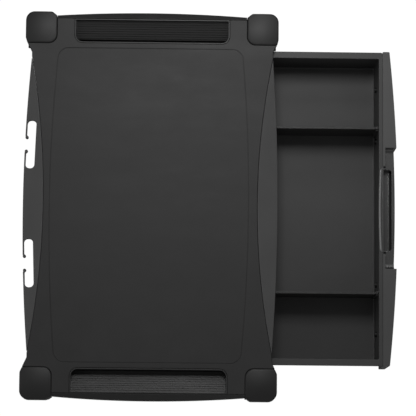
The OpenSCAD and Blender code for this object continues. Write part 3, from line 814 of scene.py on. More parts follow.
@dataclass
class Deck:
    """Deck plate with its shallow panel, its underside ribs and the brackets under the corners."""

    plan: StandPlan
    thickness: float = 3.5
    panel_half_w: float = 203
    panel_front: float = 118
    panel_rear: float = 121.5
    panel_bow: float = 8
    panel_r: float = 15
    panel_turn: float = 70
    panel_depth: float = 0.5
    groove_depth: float = 0.95
    groove_w: float = 0.9
    groove_r: float = 0.2
    notch_r: float = 10.25
    sink: float = 0.5
    rib_depth: float = 8.7
    rib_t: float = 1.8
    rib_half_w: float = 186
    rib_half_d: float = 116
    rib_pitch: tuple[float, float] = (45, 37)
    ribs_beside_middle: tuple[int, int] = (4, 3)
    rim_start: float = 9
    rim_sink: float = 0.2
    foot_r: float = 0.3
    ear_reach: float = 17.8
    ear_radii: tuple[float, ...] = (6, 1, 5, 0.6, 0.5, 0.6)
    bracket_radii: tuple[float, ...] = (0.4, 0.4, 6, 0.4, 0.4, 8)

    def _quarter(self, end: End) -> Loop:
        """A quarter of the deck's outline, from the crease's middle round the cap to the side tray.

        Args:
            end: Which of the two long edges.

        Returns:
            Points for the right half, in the order rear edge to side, about the stand's middle.
        """
        plan = self.plan
        crease_r = plan.crease_radius(end)
        crease = [Vector((x, plan.crease_y + arc_drop(crease_r, x)))
                  for x in spread(0, plan.rail_half_l, count=28)]
        cap_side = plan.cap.low.x - plan.gap
        slant = (plan.bow(end) - plan.flank_in) / math.tan(math.radians(plan.flank_slope))
        edge_y = plan.half_d - plan.bow(end)
        cap_front = plan.half_d - plan.cap.size.y - plan.gap
        flank = [Vector((plan.cap.low.x - slant, edge_y)),
                 Vector((cap_side, plan.half_d - plan.flank_in - plan.flank_gap))]
        pocket = turn((cap_side + plan.cap_r, cap_front + plan.cap_r), plan.cap_r, 180, 270)
        tray_end = plan.tray.size.y / 2 + plan.gap
        notch_x = plan.tray.low.x - plan.gap
        outer_x = plan.skirt.low.x - plan.gap
        notch = [Vector((outer_x, cap_front)), Vector((outer_x, tray_end))]
        notch += turn((notch_x + self.notch_r, tray_end - self.notch_r), self.notch_r, 90, 180)
        return crease + flank + pocket + notch

    def outline(self) -> Loop:
        """The deck's whole outline.

        Returns:
            The outline in the frame, counter-clockwise.
        """
        rear, front = self._quarter(End.REAR), self._quarter(End.FRONT)
        left_rear = [Vector((-p.x, p.y)) for p in rear]
        right_front = [Vector((p.x, -p.y)) for p in front]
        left_front = [Vector((-p.x, -p.y)) for p in front]
        loop = rear[::-1][:-1] + left_rear + left_front[::-1][:-1] + right_front
        return moved(loop, 0, self.plan.middle_y)

    def panel(self) -> Loop:
        """Outline of the shallow panel.

        Returns:
            The outline in the frame, counter-clockwise.
        """
        r, reach = self.panel_r, self.panel_half_w - self.panel_r
        depth = {End.REAR: self.panel_rear, End.FRONT: self.panel_front}

        def edge(end: End) -> Loop:
            """The panel's bowed rear or front edge."""
            return [end.value * Vector((x, depth[end] + self.panel_bow * (1 - (x / reach) ** 2)))
                    for x in spread(reach, -reach, count=32)]

        def corner(side: Side, end: End, first: float) -> Loop:
            """The arc of a corner, from its first angle on."""
            middle = (side.value * reach, end.value * (depth[end] - r))
            return turn(middle, r, first, first + self.panel_turn)

        loop = edge(End.REAR) + corner(Side.LEFT, End.REAR, 100) + corner(Side.LEFT, End.FRONT, 190)
        loop += edge(End.FRONT) + corner(Side.RIGHT, End.FRONT, 280) + corner(Side.RIGHT, End.REAR, 10)
        return moved(loop, 0, self.plan.middle_y)

    def build(self) -> None:
        """Builds and dresses the deck."""
        deck_z, panel = self.plan.deck_z, self.panel()
        piece = Moulding("deck_plate_moulded")
        under, bed = deck_z - self.thickness, deck_z - self.groove_depth
        foot, top = piece.wall(self.outline(), under, deck_z, 0, self.plan.edge_r)
        step = piece.wall(panel, bed, deck_z, 0, self.groove_r, hollow=True)
        rise = piece.wall(grown(panel, -self.groove_w), bed, deck_z - self.panel_depth, 0, self.groove_r)
        piece.face(top, step[1])
        piece.face(step[0], rise[0])
        piece.face(rise[1])
        piece.face(foot)
        self._ribs(piece, under + self.sink)
        self._rims(piece, under + self.sink)
        self._brackets(piece, under + self.sink)
        piece.finish("stand", DECK.material(), DECK.slot, ["deck_plate"])

    def _ribs(self, piece: Moulding, top: float) -> None:
        """Adds the ribs under the deck.

        Args:
            piece: The deck.
            top: Height of the ribs' top, inside the plate.
        """
        y, low, r = self.plan.middle_y, self.plan.deck_z - self.rib_depth, self.rib_t / 2
        half_w, half_d = self.rib_half_w, self.rib_half_d
        across, along = self.ribs_beside_middle
        for x in (self.rib_pitch[0] * i for i in range(-across, across + 1)):
            piece.bar((x - r, y - half_d, low), (x + r, y + half_d, top))
        for rib_y in (y + self.rib_pitch[1] * i for i in range(-along, along + 1)):
            piece.bar((-half_w, rib_y - r, low), (half_w, rib_y + r, top))

    def _rims(self, piece: Moulding, top: float) -> None:
        """Adds the deck's rim wall round each corner.

        Args:
            piece: The deck.
            top: Height of the walls' top, inside the plate.
        """
        plan = self.plan
        for side in Side:
            for end in End:
                quarter = self._quarter(end)
                first = next(i for i, p in enumerate(quarter) if p.x > plan.rail_half_l - self.rim_start)
                path = [quarter[first] - Vector((0, self.rim_sink)), *quarter[first + 1:]]
                loop = moved(mirrored(ribbon(path[::-1], plan.wall), side, end), 0, plan.middle_y)
                piece.block(loop, plan.deck_z - self.rib_depth, top, self.foot_r)

    def _brackets(self, piece: Moulding, top: float) -> None:
        """Adds the ears that caps and legs clamp, and their walls.

        Args:
            piece: The deck.
            top: Height of the walls' top, inside the plate.
        """
        plan = self.plan
        half, t = plan.cap.size.x / 2 + plan.gap, plan.wall
        inner, reach, low = half + t, self.ear_reach, plan.skirt.low.z
        skirt_x, skirt_y = plan.skirt.low.x - plan.gap - plan.cap.middle.x, -half + plan.gap
        ear_corners = [(reach, reach), (-inner, reach), (-inner, -inner), (skirt_x, -inner),
                       (skirt_x, skirt_y), (reach, skirt_y)]
        wall_corners = [(0, -inner), (0, -half), (-half, -half), (-half, 0), (-inner, 0), (-inner, -inner)]
        ear = rounded([(x, y, r) for (x, y), r in zip(ear_corners, self.ear_radii)], step=15)
        walls = rounded([(x, y, r) for (x, y), r in zip(wall_corners, self.bracket_radii)], step=12)
        for side in Side:
            for end in End:
                x = side.value * plan.cap.middle.x
                y = plan.middle_y + end.value * (plan.cap.middle.y - plan.middle_y)
                for shape, height in ((ear, low + t), (walls, top)):
                    piece.block(moved(mirrored(shape, side, end), x, y), low, height, self.foot_r)


@dataclass
class Rail:
    """Lens-shaped rail on a long edge; the rear one has two cable slots between fingers."""

    plan: StandPlan
    end: End
    slots: tuple[float, ...] = ()
    blunt: float = 3
    foot_r: float = 0.5
    tip_share: float = 0.35
    slot_l: float = 62
    slot_w: float = 11.4
    slot_r: float = 5
    mouth: float = 14
    mouth_side: float = 3
    finger_t: float = 2.1
    bulb_r: float = 2
    bulb_swell: float = 0.1
    bulb_turn: tuple[float, float] = (62, 305)
    bulb_neck: tuple[float, float] = (2.4, 2.9)

    def _slot_path(self) -> Loop:
        """A slot's outline from its right finger's tip round to the left one's, along u and v.

        Returns:
            Points with u to the right along the rail and v outwards, v = 0 in the slot's middle.
        """
        inner = self.slot_w / 2
        tip = self.mouth / 2 + self.bulb_r
        corner = Vector((self.slot_l / 2 - self.slot_r, inner - self.slot_r))
        path = [Vector((tip + self.bulb_neck[0], inner + self.finger_t))]
        path += turn((tip, inner - self.bulb_swell), self.bulb_r + self.bulb_swell, *self.bulb_turn, step=18)
        path += [Vector((tip + self.bulb_neck[1], inner))]
        path += turn(corner, self.slot_r, 90, 0)
        path += turn((corner.x, -corner.y), self.slot_r, 0, -90)
        return path + [Vector((-p.x, p.y)) for p in path[::-1]]

    def outline(self) -> Loop:
        """The rail's outline with its slots.

        Returns:
            The outline in the frame, counter-clockwise.
        """
        plan, end = self.plan, self.end
        edge_r, crease_r = plan.edge_radius(end), plan.crease_radius(end)
        half = plan.rail_half_l - self.blunt
        slot_half = self.mouth / 2 + self.bulb_r + self.mouth_side
        outer: Loop = []
        slots = sorted(self.slots, reverse=True)
        xs = [x for x in spread(half, -half, count=64) if all(abs(x - s) > slot_half for s in self.slots)]
        for x in xs:
            while slots and x < slots[0]:
                outer += self._placed_slot(slots.pop(0), edge_r)
            outer.append(Vector((x, plan.half_d - arc_drop(edge_r, x))))
        inner = [Vector((x, plan.crease_y + plan.gap + arc_drop(crease_r, x)))
                 for x in spread(-half, half, count=56)]
        return moved(mirrored(outer + inner, Side.RIGHT, end), 0, plan.middle_y)

    def _placed_slot(self, x: float, edge_r: float) -> Loop:
        """A slot's outline turned and moved to its place on the rear rail.

        Args:
            x: X of the slot's middle.
            edge_r: Radius of the rail's outer edge.

        Returns:
            The outline about the stand's middle.
        """
        depth = self.finger_t + self.slot_w / 2
        middle = Vector((x, self.plan.half_d - arc_drop(edge_r, x) - depth))
        tilt = Matrix.Rotation(-math.asin(x / edge_r), 2)
        return [middle + tilt @ p for p in self._slot_path()]

    def _share(self, p: Vector) -> float:
        """Share of the edge rounding at a point: less where the rail runs out to its tips.

        Args:
            p: Point of the outline.

        Returns:
            The share, at most 1.
        """
        plan = self.plan
        x = min(abs(p.x), plan.rail_half_l)
        width = plan.rail_w - arc_drop(plan.edge_radius(self.end), x) \
            - arc_drop(plan.crease_radius(self.end), x) - plan.gap
        return min(1.0, self.tip_share * width / plan.edge_r)

    def build(self, node: str) -> None:
        """Builds and dresses the rail.

        Args:
            node: The CAD node that it replaces.
        """
        plan = self.plan
        piece = Moulding(f"{node}_moulded")
        for ring in piece.wall(self.outline(), plan.rail.low.z, plan.rail_top(self.end), self.foot_r,
                               plan.edge_r, share=self._share):
            piece.face(ring)
        piece.finish("stand", RAIL.material(), RAIL.slot, [node])


@dataclass
class SideSkirt:
    """Thin sloping strip outside a side tray."""

    plan: StandPlan
    side: Side
    slope: float = 35
    flat: float = 0.8
    bow: float = 5
    edge_r: float = 0.35
    ledge_in: float = 2

    def build(self) -> None:
        """Builds and dresses the skirt."""
        plan, box = self.plan, self.plan.skirt
        half = box.size.y / 2
        radius = arc_radius(half + plan.gap, self.bow)
        outer = [Vector((box.high.x - arc_drop(radius, y), y)) for y in spread(-half, half, count=40)]
        loop = outer + [Vector((box.low.x, half)), Vector((box.low.x, -half))]
        loop = moved(mirrored(loop, self.side, End.REAR), 0, plan.middle_y)
        fall = math.tan(math.radians(self.slope))

        def height(x: float, y: float) -> float:
            """Height of the skirt's top."""
            return plan.deck_z - max(0.0, abs(x) - box.low.x - self.flat) * fall

        name = self.side.name.lower()
        piece = Moulding(f"side_skirt_{name}_moulded")
        foot, top = piece.wall(loop, box.low.z, height, 0, self.edge_r)
        ledge, reach = self.side.value * (box.low.x + self.flat), half - self.ledge_in
        crease = [(ledge, plan.middle_y + y) for y in spread(-reach, reach, count=30)]
        piece.face(top, height=height, inner=crease)
        piece.face(foot)
        piece.finish("stand", DECK.material(), DECK.slot, [f"side_skirt_{name}"])


@dataclass
class SideTray:
    """Tray let into a short side: a deep slot and a ribbed ramp that rises to the outer edge."""

    plan: StandPlan
    side: Side
    wall: float = 1.4
    slot_w: float = 5.5
    floor_t: float = 1.6
    ramp_low: float = 12
    ramp_high: float = 6.5
    ribs: int = 8
    rib_shape: tuple[tuple[float, float], ...] = (
        (0.04, 0.9), (0.86, 0.9), (1.0, 0.14), (1.1, 0), (1.84, 0), (1.94, 0.14))
    near_fillet: tuple[float, float] = (0.3, 1)
    far_fillet: float = 0.5
    corner_lines: tuple[float, ...] = (0.7, 1.2, 1.8, 2.5, 3.2, 4)
    corner_r: float = 8.6
    outer_r: tuple[float, float] = (10, 0.6)
    edge_r: tuple[float, float] = (0.4, 0.3)
    lip: tuple[float, float] = (0.9, 0.2)
    lip_in: float = 0.7
    lip_r: tuple[float, float] = (9.5, 0.4)
    lip_drop: tuple[float, float] = (11, 9)

    def _profile(self, width: float) -> list[tuple[float, float]]:
        """Cross-section of the tray's floor, from its inner wall to its outer one.

        Args:
            width: Inner width of the tray.

        Returns:
            Points (distance from the inner wall, height), closer together beside the plan's corners.
        """
        low = self.plan.tray.low.z
        start, stop, floor = low + self.ramp_low, self.plan.deck_z - self.ramp_high, low + self.floor_t
        (inset, rise), far = self.near_fillet, self.far_fillet
        points = [(0.0, floor + rise), (inset, floor + inset)]
        points += [(x, floor) for x in (*self.corner_lines, self.slot_w - far)]
        points += [(self.slot_w, floor + far)]
        steps = 2 * self.ribs

        def on_ramp(i: float, depth: float) -> tuple[float, float]:
            """Point of the ramp i half pitches up, with the given depth."""
            share = i / steps
            return self.slot_w + (width - self.slot_w) * share, start + (stop - start) * share - depth

        for i in range(0, steps, 2):
            points += [on_ramp(i + step, depth) for step, depth in self.rib_shape]
        return points + [(width, stop)]

    @staticmethod
    def _plan_loop(near: float, far: float, half_l: float, near_r: float, far_r: float) -> Loop:
        """A plan outline between two x, with its own corner radius towards each."""
        return rounded([(far, half_l, far_r), (near, half_l, near_r),
                        (near, -half_l, near_r), (far, -half_l, far_r)], step=8)

    def build(self) -> None:
        """Builds and dresses the tray."""
        plan, box = self.plan, self.plan.tray
        width, half_l = box.size.x - 2 * self.wall, box.size.y / 2 - self.wall
        name = self.side.name.lower()
        piece = Moulding(f"side_tray_{name}_moulded")

        def reach(x: float) -> float:
            """Half the tray's inner length at a distance from its inner wall."""
            r = self.corner_r
            return half_l - (r - math.sqrt(max(0.0, r * r - (r - x) ** 2)) if x < r else 0)

        lines, rims = [], []
        for x, z in self._profile(width):
            y, plan_x = reach(x), box.low.x + self.wall + x
            lines.append([(plan_x, s * y, z) for s in (-1, 1)])
            rims.append([(plan_x, s * y, box.high.z) for s in (-1, 1)])
        hollow = self._lay(piece, lines, rims)
        outer = self._plan_loop(box.low.x, box.high.x, half_l + self.wall, *self.outer_r)
        foot, top = piece.wall(outer, box.low.z, box.high.z, *self.edge_r)
        piece.face(foot)
        piece.face(top, hollow)
        self._lip(piece, box, half_l + self.wall)
        mirror = Matrix.Diagonal((self.side.value, 1, 1, 1))
        piece.place(Matrix.Translation((0, plan.middle_y, 0)) @ mirror)
        piece.finish("stand", SIDE_TRAY.material(), SIDE_TRAY.slot, [f"side_tray_{name}"], sharp=24)

    def _lip(self, piece: Moulding, box: Box, half_l: float) -> None:
        """Adds the lip round the tray that closes the gap to the deck from below.

        Args:
            piece: The tray.
            box: The tray's box.
            half_l: Half the tray's outer length.
        """
        loops = [self._plan_loop(box.low.x - out, box.high.x + far_out, half_l + out, *self.lip_r)
                 for out, far_out in (self.lip, (-self.lip_in, -self.lip_in))]
        low, high = (self.plan.deck_z - drop for drop in self.lip_drop)
        lip_foot, lip_top = piece.wall(loops[0], low, high)
        bed_foot, bed_top = piece.wall(loops[1], low, high, hollow=True)
        piece.face(lip_foot, bed_foot)
        piece.face(lip_top, bed_top)

    @staticmethod
    def _lay(piece: Moulding, lines: list, rims: list) -> Ring:
        """Lays the hollow's floor along its lines and raises its walls.

        Args:
            piece: The tray.
            lines: Both end points of each line across the floor.
            rims: The points above them at the rim.

        Returns:
            The ring round the hollow's mouth.
        """
        low = [[piece.mesh.verts.new(p) for p in line] for line in lines]
        high = [[piece.mesh.verts.new(p) for p in rim] for rim in rims]
        for i in range(len(low) - 1):
            piece.mesh.faces.new((low[i][0], low[i + 1][0], low[i + 1][1], low[i][1]))
            for s in (0, 1):
                piece.mesh.faces.new((low[i][s], low[i + 1][s], high[i + 1][s], high[i][s]))
        for i in (0, -1):
            piece.mesh.faces.new((low[i][0], low[i][1], high[i][1], high[i][0]))
        return [h[0] for h in high] + [h[1] for h in high[::-1]]


@dataclass
class CornerPost:
    """Corner of the stand: a domed cap, two stacked leg modules and a rubber foot."""

    plan: StandPlan
    side: Side
    end: End
    cap_foot: float = 0.4
    cap_edge_r: float = 1.8
    cap_edge_drop: float = 0.6
    cap_point_gap: float = 2.5
    cap_bulge: float = 0.8
    dome_r: float = 115
    dome_rings: tuple[float, ...] = (0.95, 0.9, 0.8, 0.7, 0.6, 0.45, 0.3, 0.15, 0.05)
    leg_inset: float = 1.1
    leg_chamfer: float = 0.5
    leg_ceiling: float = 38
    leg_inner_r: float = 4.6
    groove: float = 0.5
    groove_w: float = 0.6
    groove_slant: float = 0.1
    groove_ends: tuple[float, float] = (3, 3.5)
    peg_w: float = 16
    peg_step: float = 15
    socket_w: float = 21
    bore_w: float = 16.4
    bore_depth: float = 10
    sink: float = 0.5
    soft_r: float = 0.3
    foot_t: float = 4
    foot_sink: float = 0.2
    foot_r: float = 6
    foot_edge: tuple[tuple[float, float], ...] = ((0, 1.2), (0.1, 0.7), (0.35, 0.35), (0.7, 0.1), (1.2, 0))
    tread: tuple[float, ...] = (3.2, 8.2)
    tread_shape: tuple[tuple[float, float], ...] = ((0, 0), (0.4, 0.8), (1.6, 0.8), (2, 0))

    @property
    def label(self) -> str:
        """The corner's name, as in front_left."""
        return f"{self.end.name.lower()}_{self.side.name.lower()}"

    @property
    def middle(self) -> Vector:
        """The corner's middle in plan."""
        return Box.of(f"corner_cap_{self.label}").middle.xy

    def build(self) -> None:
        """Builds and dresses the cap, the leg modules and the foot."""
        self._cap()
        for level in ("upper", "lower"):
            self._leg(level)
        self._foot()

    def _finish(self, piece: Moulding, finish: Plastic, node: str, sharp: float = SHARP_EDGE) -> None:
        """Puts a piece that was built about the origin in its place and dresses it."""
        piece.place(Matrix.Translation((*self.middle, 0)))
        piece.finish("stand", finish.material(), finish.slot, [node], sharp)

    @staticmethod
    def _round(width: float, step: float) -> Loop:
        """Outline of a round peg or hole."""
        least_side = 0.2
        return rectangle(width, width, (width - least_side) / 2, step=step)

    def _peg(self, piece: Moulding, low: float, high: float) -> None:
        """Adds the peg on top of a leg module or a foot."""
        piece.block(self._round(self.peg_w, self.peg_step), low, high, 0, 1, plain=True)

    def _cap(self) -> None:
        """Builds the domed cap."""
        node = f"corner_cap_{self.label}"
        box = Box.of(node)
        plan_loop = self.plan.cap_loop()
        reach = max(p.x for p in plan_loop)
        plan_loop = [Vector((p.x + self.cap_bulge * max(p.x, 0) / reach, p.y)) for p in plan_loop]
        loop = divided(mirrored(plan_loop, self.side, self.end), self.cap_point_gap)
        piece = Moulding(f"{node}_moulded")

        def dome(x: float, y: float) -> float:
            """Height of the dome about the cap's middle."""
            return box.high.z - (x * x + y * y) / (2 * self.dome_r)

        foot, r = self.cap_foot, self.cap_edge_r
        rings = [piece.ring(grown(loop, -foot), box.low.z), piece.ring(loop, box.low.z + foot)]
        for a in (math.radians(d) for d in spread(0, 90, count=9)):
            rings.append(piece.ring(grown(loop, -r * (1 - math.cos(a))), dome,
                                    -self.cap_edge_drop * r * (1 - math.sin(a))))
        inside = grown(loop, -r)
        rings += [piece.ring([p * share for p in inside], dome) for share in self.dome_rings]
        piece.skin(rings)
        piece.cap(rings[0])
        piece.cap(rings[-1])
        self._finish(piece, CAP, node, sharp=60)

    def _leg(self, level: str) -> None:
        """Builds a leg module: a square tube with two grip grooves.

        Args:
            level: "upper" or "lower".
        """
        node = f"leg_{level}_{self.label}"
        box = Box.of(node)
        width = box.size.x - 2 * self.leg_inset
        loop = rectangle(width, width, self.plan.cap_r - 1, step=10)
        height = Box.of(f"leg_upper_{self.label}").low.z - Box.of(f"leg_lower_{self.label}").low.z
        low, top = box.low.z, box.low.z + height
        piece = Moulding(f"{node}_moulded")
        chamfer, deep, soft, slant = self.leg_chamfer, self.groove, self.groove / 2, self.groove_slant
        steps = [(low, chamfer), (low + chamfer, 0)]
        for z in (low + self.groove_ends[0], top - self.groove_ends[1]):
            z_end = z + self.groove_w
            steps += [(z - soft, 0), (z, soft), (z + slant, deep),
                      (z_end - slant, deep), (z_end, soft), (z_end + soft, 0)]
        steps += [(top - chamfer, 0), (top, chamfer)]
        rings = [piece.ring(grown(loop, -inset), z) for z, inset in steps]
        piece.skin(rings)
        self._underside(piece, rings[0], low, width)
        piece.cap(rings[-1])
        self._peg(piece, top - chamfer, box.high.z)
        # Its plastic is darkened to paint the shade on the legs' sides.
        self._finish(piece, LEG_DARKENED_FOR_SHADE, node)

    def _underside(self, piece: Moulding, rim: Ring, low: float, width: float) -> None:
        """Adds a leg module's hollow underside.

        Args:
            piece: The leg module.
            rim: The ring round its foot.
            low: Height of the foot.
            width: Width of the module.
        """
        inner_w, ceiling, soft = width - 2 * self.plan.wall, low + self.leg_ceiling, self.soft_r
        inner = rectangle(inner_w, inner_w, self.leg_inner_r, step=10)
        foot, top = piece.wall(inner, low, ceiling, hollow=True)
        piece.face(rim, foot)
        piece.face(top)
        socket, bore = (self._round(w, step=12) for w in (self.socket_w, self.bore_w))
        ring_foot, ring_top = piece.wall(socket, low, ceiling + self.sink, soft)
        bore_foot, bore_top = piece.wall(bore, low, low + self.bore_depth, soft, hollow=True)
        piece.face(ring_foot, bore_foot)
        piece.face(bore_top)
        piece.face(ring_top)

    def _foot(self) -> None:
        """Builds the rubber foot with its grooved tread."""
        node = f"foot_pad_{self.label}"
        box, thick, soft = Box.of(node), self.foot_t, self.soft_r
        piece = Moulding(f"{node}_moulded")
        width = box.size.x - self.leg_inset
        loop = rectangle(width, width, self.foot_r, step=10)
        steps = [*self.foot_edge, (thick - soft, 0), (thick, soft)]
        rings = [piece.ring(grown(loop, -inset), z) for z, inset in steps]
        piece.skin(rings)
        piece.cap(rings[-1])
        grooves = [(start + run, z) for start in self.tread for run, z in self.tread_shape]
        inner = [piece.ring([p * (1 - inset / (width / 2)) for p in loop], z) for inset, z in grooves]
        piece.skin([rings[0], *inner])
        piece.cap(inner[-1])
        self._peg(piece, thick - self.foot_sink, box.high.z)
        self._finish(piece, RUBBER, node)


@dataclass
class UnderFrame:
    """Runners, apron, stops, screws and glides, whose CAD shapes stay and get their finishes."""

    finishes: tuple[tuple[Plastic | Steel, tuple[str, ...]], ...] = (
        (RUNNER, ("runner_left", "runner_right", "rear_apron", "drawer_stops")),
        (STEEL, ("leg_screws", "deck_screws", "drawer_front_screws")),
        (GLIDE, ("drawer_glides",)),
    )

    def dress(self) -> None:
        """Gives each node its material."""
        for finish, nodes in self.finishes:
            material = finish.material()
            for node in nodes:
                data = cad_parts[node].data
                data.materials.clear()
                data.materials.append(material)
                LOG.info("%s: %s", node, finish.name)


# ---------- drawer ----------


@dataclass
class DrawerPlan:
    """Sizes of the drawer, in millimetres; places are taken from the frame."""

    rim_w: float = 8.6
    rim_t: float = 2.8
    wall: float = 2.6
    front_lip: float = 4.9
    floor_round: float = 2.5
    outer_round: float = 8.6
    corner_r: float = 1.5
    floor_t: float = 2.4
    bow: float = 10.3
    web: float = 3.4
    pocket_x: float = -2.5
    divider_t: float = 2
    dividers: tuple[str, ...] = ("divider_left", "divider_right")
    gap: float = 0.25
    tray: Box = field(default_factory=lambda: Box.of("drawer_tray"))
    front: Box = field(default_factory=lambda: Box.of("drawer_front"))
    pull: Box = field(default_factory=lambda: Box.of("drawer_pull"))

    @property
    def inner_half_w(self) -> float:
        """Half the inner width of the tray."""
        return self.tray.size.x / 2 - self.rim_w

    @property
    def inner_front(self) -> float:
        """Y of the tray's front wall, inside."""
        return self.tray.low.y + self.front_lip

    @property
    def inner_back(self) -> float:
        """Y of the tray's back wall, inside."""
        return self.tray.high.y - self.wall

    @property
    def rim_z(self) -> float:
        """Height of the tray's rim."""
        return self.tray.high.z

    @property
    def floor_z(self) -> float:
        """Height of the tray's floor."""
        return self.tray.low.z + self.floor_t

    @property
    def notch_half(self) -> float:
        """Half the width of the front's notch for the pull."""
        return self.pull.size.x / 2 + self.gap

    @property
    def bow_radius(self) -> float:
        """Radius of the bowed face."""
        return arc_radius(self.front.size.x / 2, self.bow)


@dataclass
class DrawerTray:
    """Deep tray with a flanged rim and guides for the dividers."""

    plan: DrawerPlan
    flange_r: float = 2
    flange_chamfer: float = 0.3
    lip_r: float = 0.7
    least_r: float = 2
    guide_w: float = 1.4
    guide_gap: float = 0.2
    guide_reach: float = 3.5
    guide_drop: float = 4
    guide_sink: float = 0.1
    guide_r: float = 0.35

    def build(self) -> None:
        """Builds and dresses the tray."""
        plan = self.plan
        half, front, back = plan.inner_half_w, plan.inner_front, plan.inner_back
        t, top, low, corner_r = plan.wall, plan.rim_z, plan.tray.low.z, plan.corner_r
        arcs, least_r = [math.radians(a) for a in spread(0, 90, count=8)], self.least_r
        piece = Moulding("drawer_tray_moulded")
        rings: list[Ring] = []

        def add(half_w: float, y0: float, y1: float, r: float, z: float) -> None:
            """Adds a ring over a rounded rectangle, which has as many points each time."""
            rings.append(piece.ring(rectangle(2 * half_w, y1 - y0, r, (0, (y0 + y1) / 2), step=9), z))

        r = plan.outer_round
        for a in arcs[::-1]:
            inset = r * (1 - math.cos(a))
            add(half + t - inset, front - t + inset, back + t - inset, max(corner_r + t - inset, least_r),
                low + r * (1 - math.sin(a)))
        chamfer, flange_low = self.flange_chamfer, top - plan.rim_t
        outer_w, y0, y1 = plan.tray.size.x / 2, plan.tray.low.y, plan.tray.high.y
        add(half + t, front - t, back + t - chamfer, corner_r + t, flange_low)
        add(outer_w - chamfer, y0 + chamfer, y1 - chamfer, self.flange_r - chamfer, flange_low)
        add(outer_w, y0, y1, self.flange_r, flange_low + chamfer)
        r = self.lip_r
        for a in arcs[::2]:
            inset = r * (1 - math.cos(a))
            add(outer_w - inset, y0, y1 - inset, self.flange_r, top - r + r * math.sin(a))
        for a in arcs[::-2]:
            grow = r * (1 - math.cos(a))
            add(half + grow, front - grow, back + grow, corner_r + grow, top - r + r * math.sin(a))
        r = plan.floor_round
        for a in arcs:
            inset = r * (1 - math.cos(a))
            add(half - inset, front + inset, back - inset, max(corner_r - inset, least_r),
                plan.floor_z + r - r * math.sin(a))
        piece.skin(rings)
        piece.cap(rings[0])
        piece.cap(rings[-1])
        self._guides(piece)
        piece.finish("drawer", DRAWER.material(), DRAWER.slot, ["drawer_tray"], sharp=50)

    def _guides(self, piece: Moulding) -> None:
        """Adds the guide ribs that hold the dividers.

        Args:
            piece: The tray.
        """
        plan, half_w, sink = self.plan, self.guide_w / 2, self.guide_sink
        for node in plan.dividers:
            x = Box.of(node).middle.x
            for wall_y, way in ((plan.inner_front, 1), (plan.inner_back, -1)):
                for s in (-1, 1):
                    middle = x + s * (plan.divider_t / 2 + self.guide_gap + half_w)
                    ends = sorted((wall_y - way * sink, wall_y + way * self.guide_reach))
                    piece.bar((middle - half_w, ends[0], plan.floor_z),
                              (middle + half_w, ends[1], plan.rim_z - self.guide_drop), self.guide_r)


@dataclass
class DrawerFront:
    """Bowed front of the drawer, with a notch in which the pull sits."""

    plan: DrawerPlan
    wall: float = 2.4
    overlap: float = 0.7
    pocket_half: float = 56.5
    pocket_web: float = 0.6
    end_r: float = 1.4
    back_r: float = 0.8
    edge_r: tuple[float, float] = (0.25, 0.27)
    seam_w: float = 0.9
    seam_share: float = 0.15
    rib_t: float = 1.8
    rib_step: float = 44
    rib_lift: float = 1
    rib_sink: float = 0.5

    def _face(self, x: float, inset: float = 0) -> Vector:
        """Point of the bowed face at x, moved in by an inset."""
        crown = self.plan.front.low.y - arc_drop(self.plan.bow_radius, self.plan.notch_half)
        return Vector((x, crown + arc_drop(self.plan.bow_radius, x) + inset))

    def outline(self) -> Loop:
        """The front's outline with its notch.

        Returns:
            The outline in the frame, counter-clockwise.
        """
        plan, box, r, back_r = self.plan, self.plan.front, self.end_r, self.back_r
        half, back, notch = box.size.x / 2, box.high.y, plan.notch_half
        right, web_y, pocket_y = half + self.overlap, back - plan.web, back - self.pocket_web
        x0, x1 = plan.pocket_x - self.pocket_half, plan.pocket_x + self.pocket_half
        loop = turn((-half + r, self._face(-half + r).y + r), r, 180, 262)
        loop += [self._face(x) for x in spread(-half + r + 2, -notch, count=18)]
        loop += [Vector(p) for p in ((-notch, web_y), (x0, web_y), (x0, pocket_y),
                                     (x1, pocket_y), (x1, web_y), (notch, web_y))]
        loop += [self._face(x) for x in spread(notch, half - r - 2, count=18)]
        loop += turn((right - r, self._face(half - r).y + r), r, 278, 360)
        loop += turn((right - back_r, back - back_r), back_r, 0, 90)
        return loop + turn((-half + back_r, back - back_r), back_r, 90, 180)

    def _share(self, p: Vector) -> float:
        """Share of the edge rounding at a point: little along the seam to the tray's flange."""
        return self.seam_share if p.y > self.plan.front.high.y - self.seam_w else 1.0

    def build(self) -> None:
        """Builds and dresses the front."""
        box = self.plan.front
        piece = Moulding("drawer_front_moulded")
        foot, top = piece.wall(self.outline(), box.low.z, box.high.z, *self.edge_r, share=self._share)
        piece.face(top)
        hollows = [self._hollow(piece, side) for side in Side]
        piece.face(foot, *hollows)
        piece.finish("drawer", FRONT.material(), FRONT.slot, ["drawer_front"])

    def _hollow(self, piece: Moulding, side: Side) -> Ring:
        """Adds the ribbed hollow under one end of the front.

        Args:
            piece: The front.
            side: Which end.

        Returns:
            The ring round the hollow's mouth.
        """
        box, t, half_t, sink = self.plan.front, self.wall, self.rib_t / 2, self.rib_sink
        near, far = self.plan.pull.size.x / 2 + 2 * t, box.size.x / 2 - t
        low, ceiling, back = box.low.z, box.high.z - t, box.high.y - t
        loop = [self._face(x, t) for x in spread(near, far, count=14)]
        loop += [Vector((far, back)), Vector((near, back))]
        foot, top = piece.wall(mirrored(loop, side, End.REAR), low, ceiling, hollow=True)
        piece.face(top)
        for x in (near + self.rib_step * i for i in (1, 2)):
            middle = side.value * x
            piece.bar((middle - half_t, self._face(x, t).y - sink, low + self.rib_lift),
                      (middle + half_t, back + sink, ceiling + sink))
        return foot


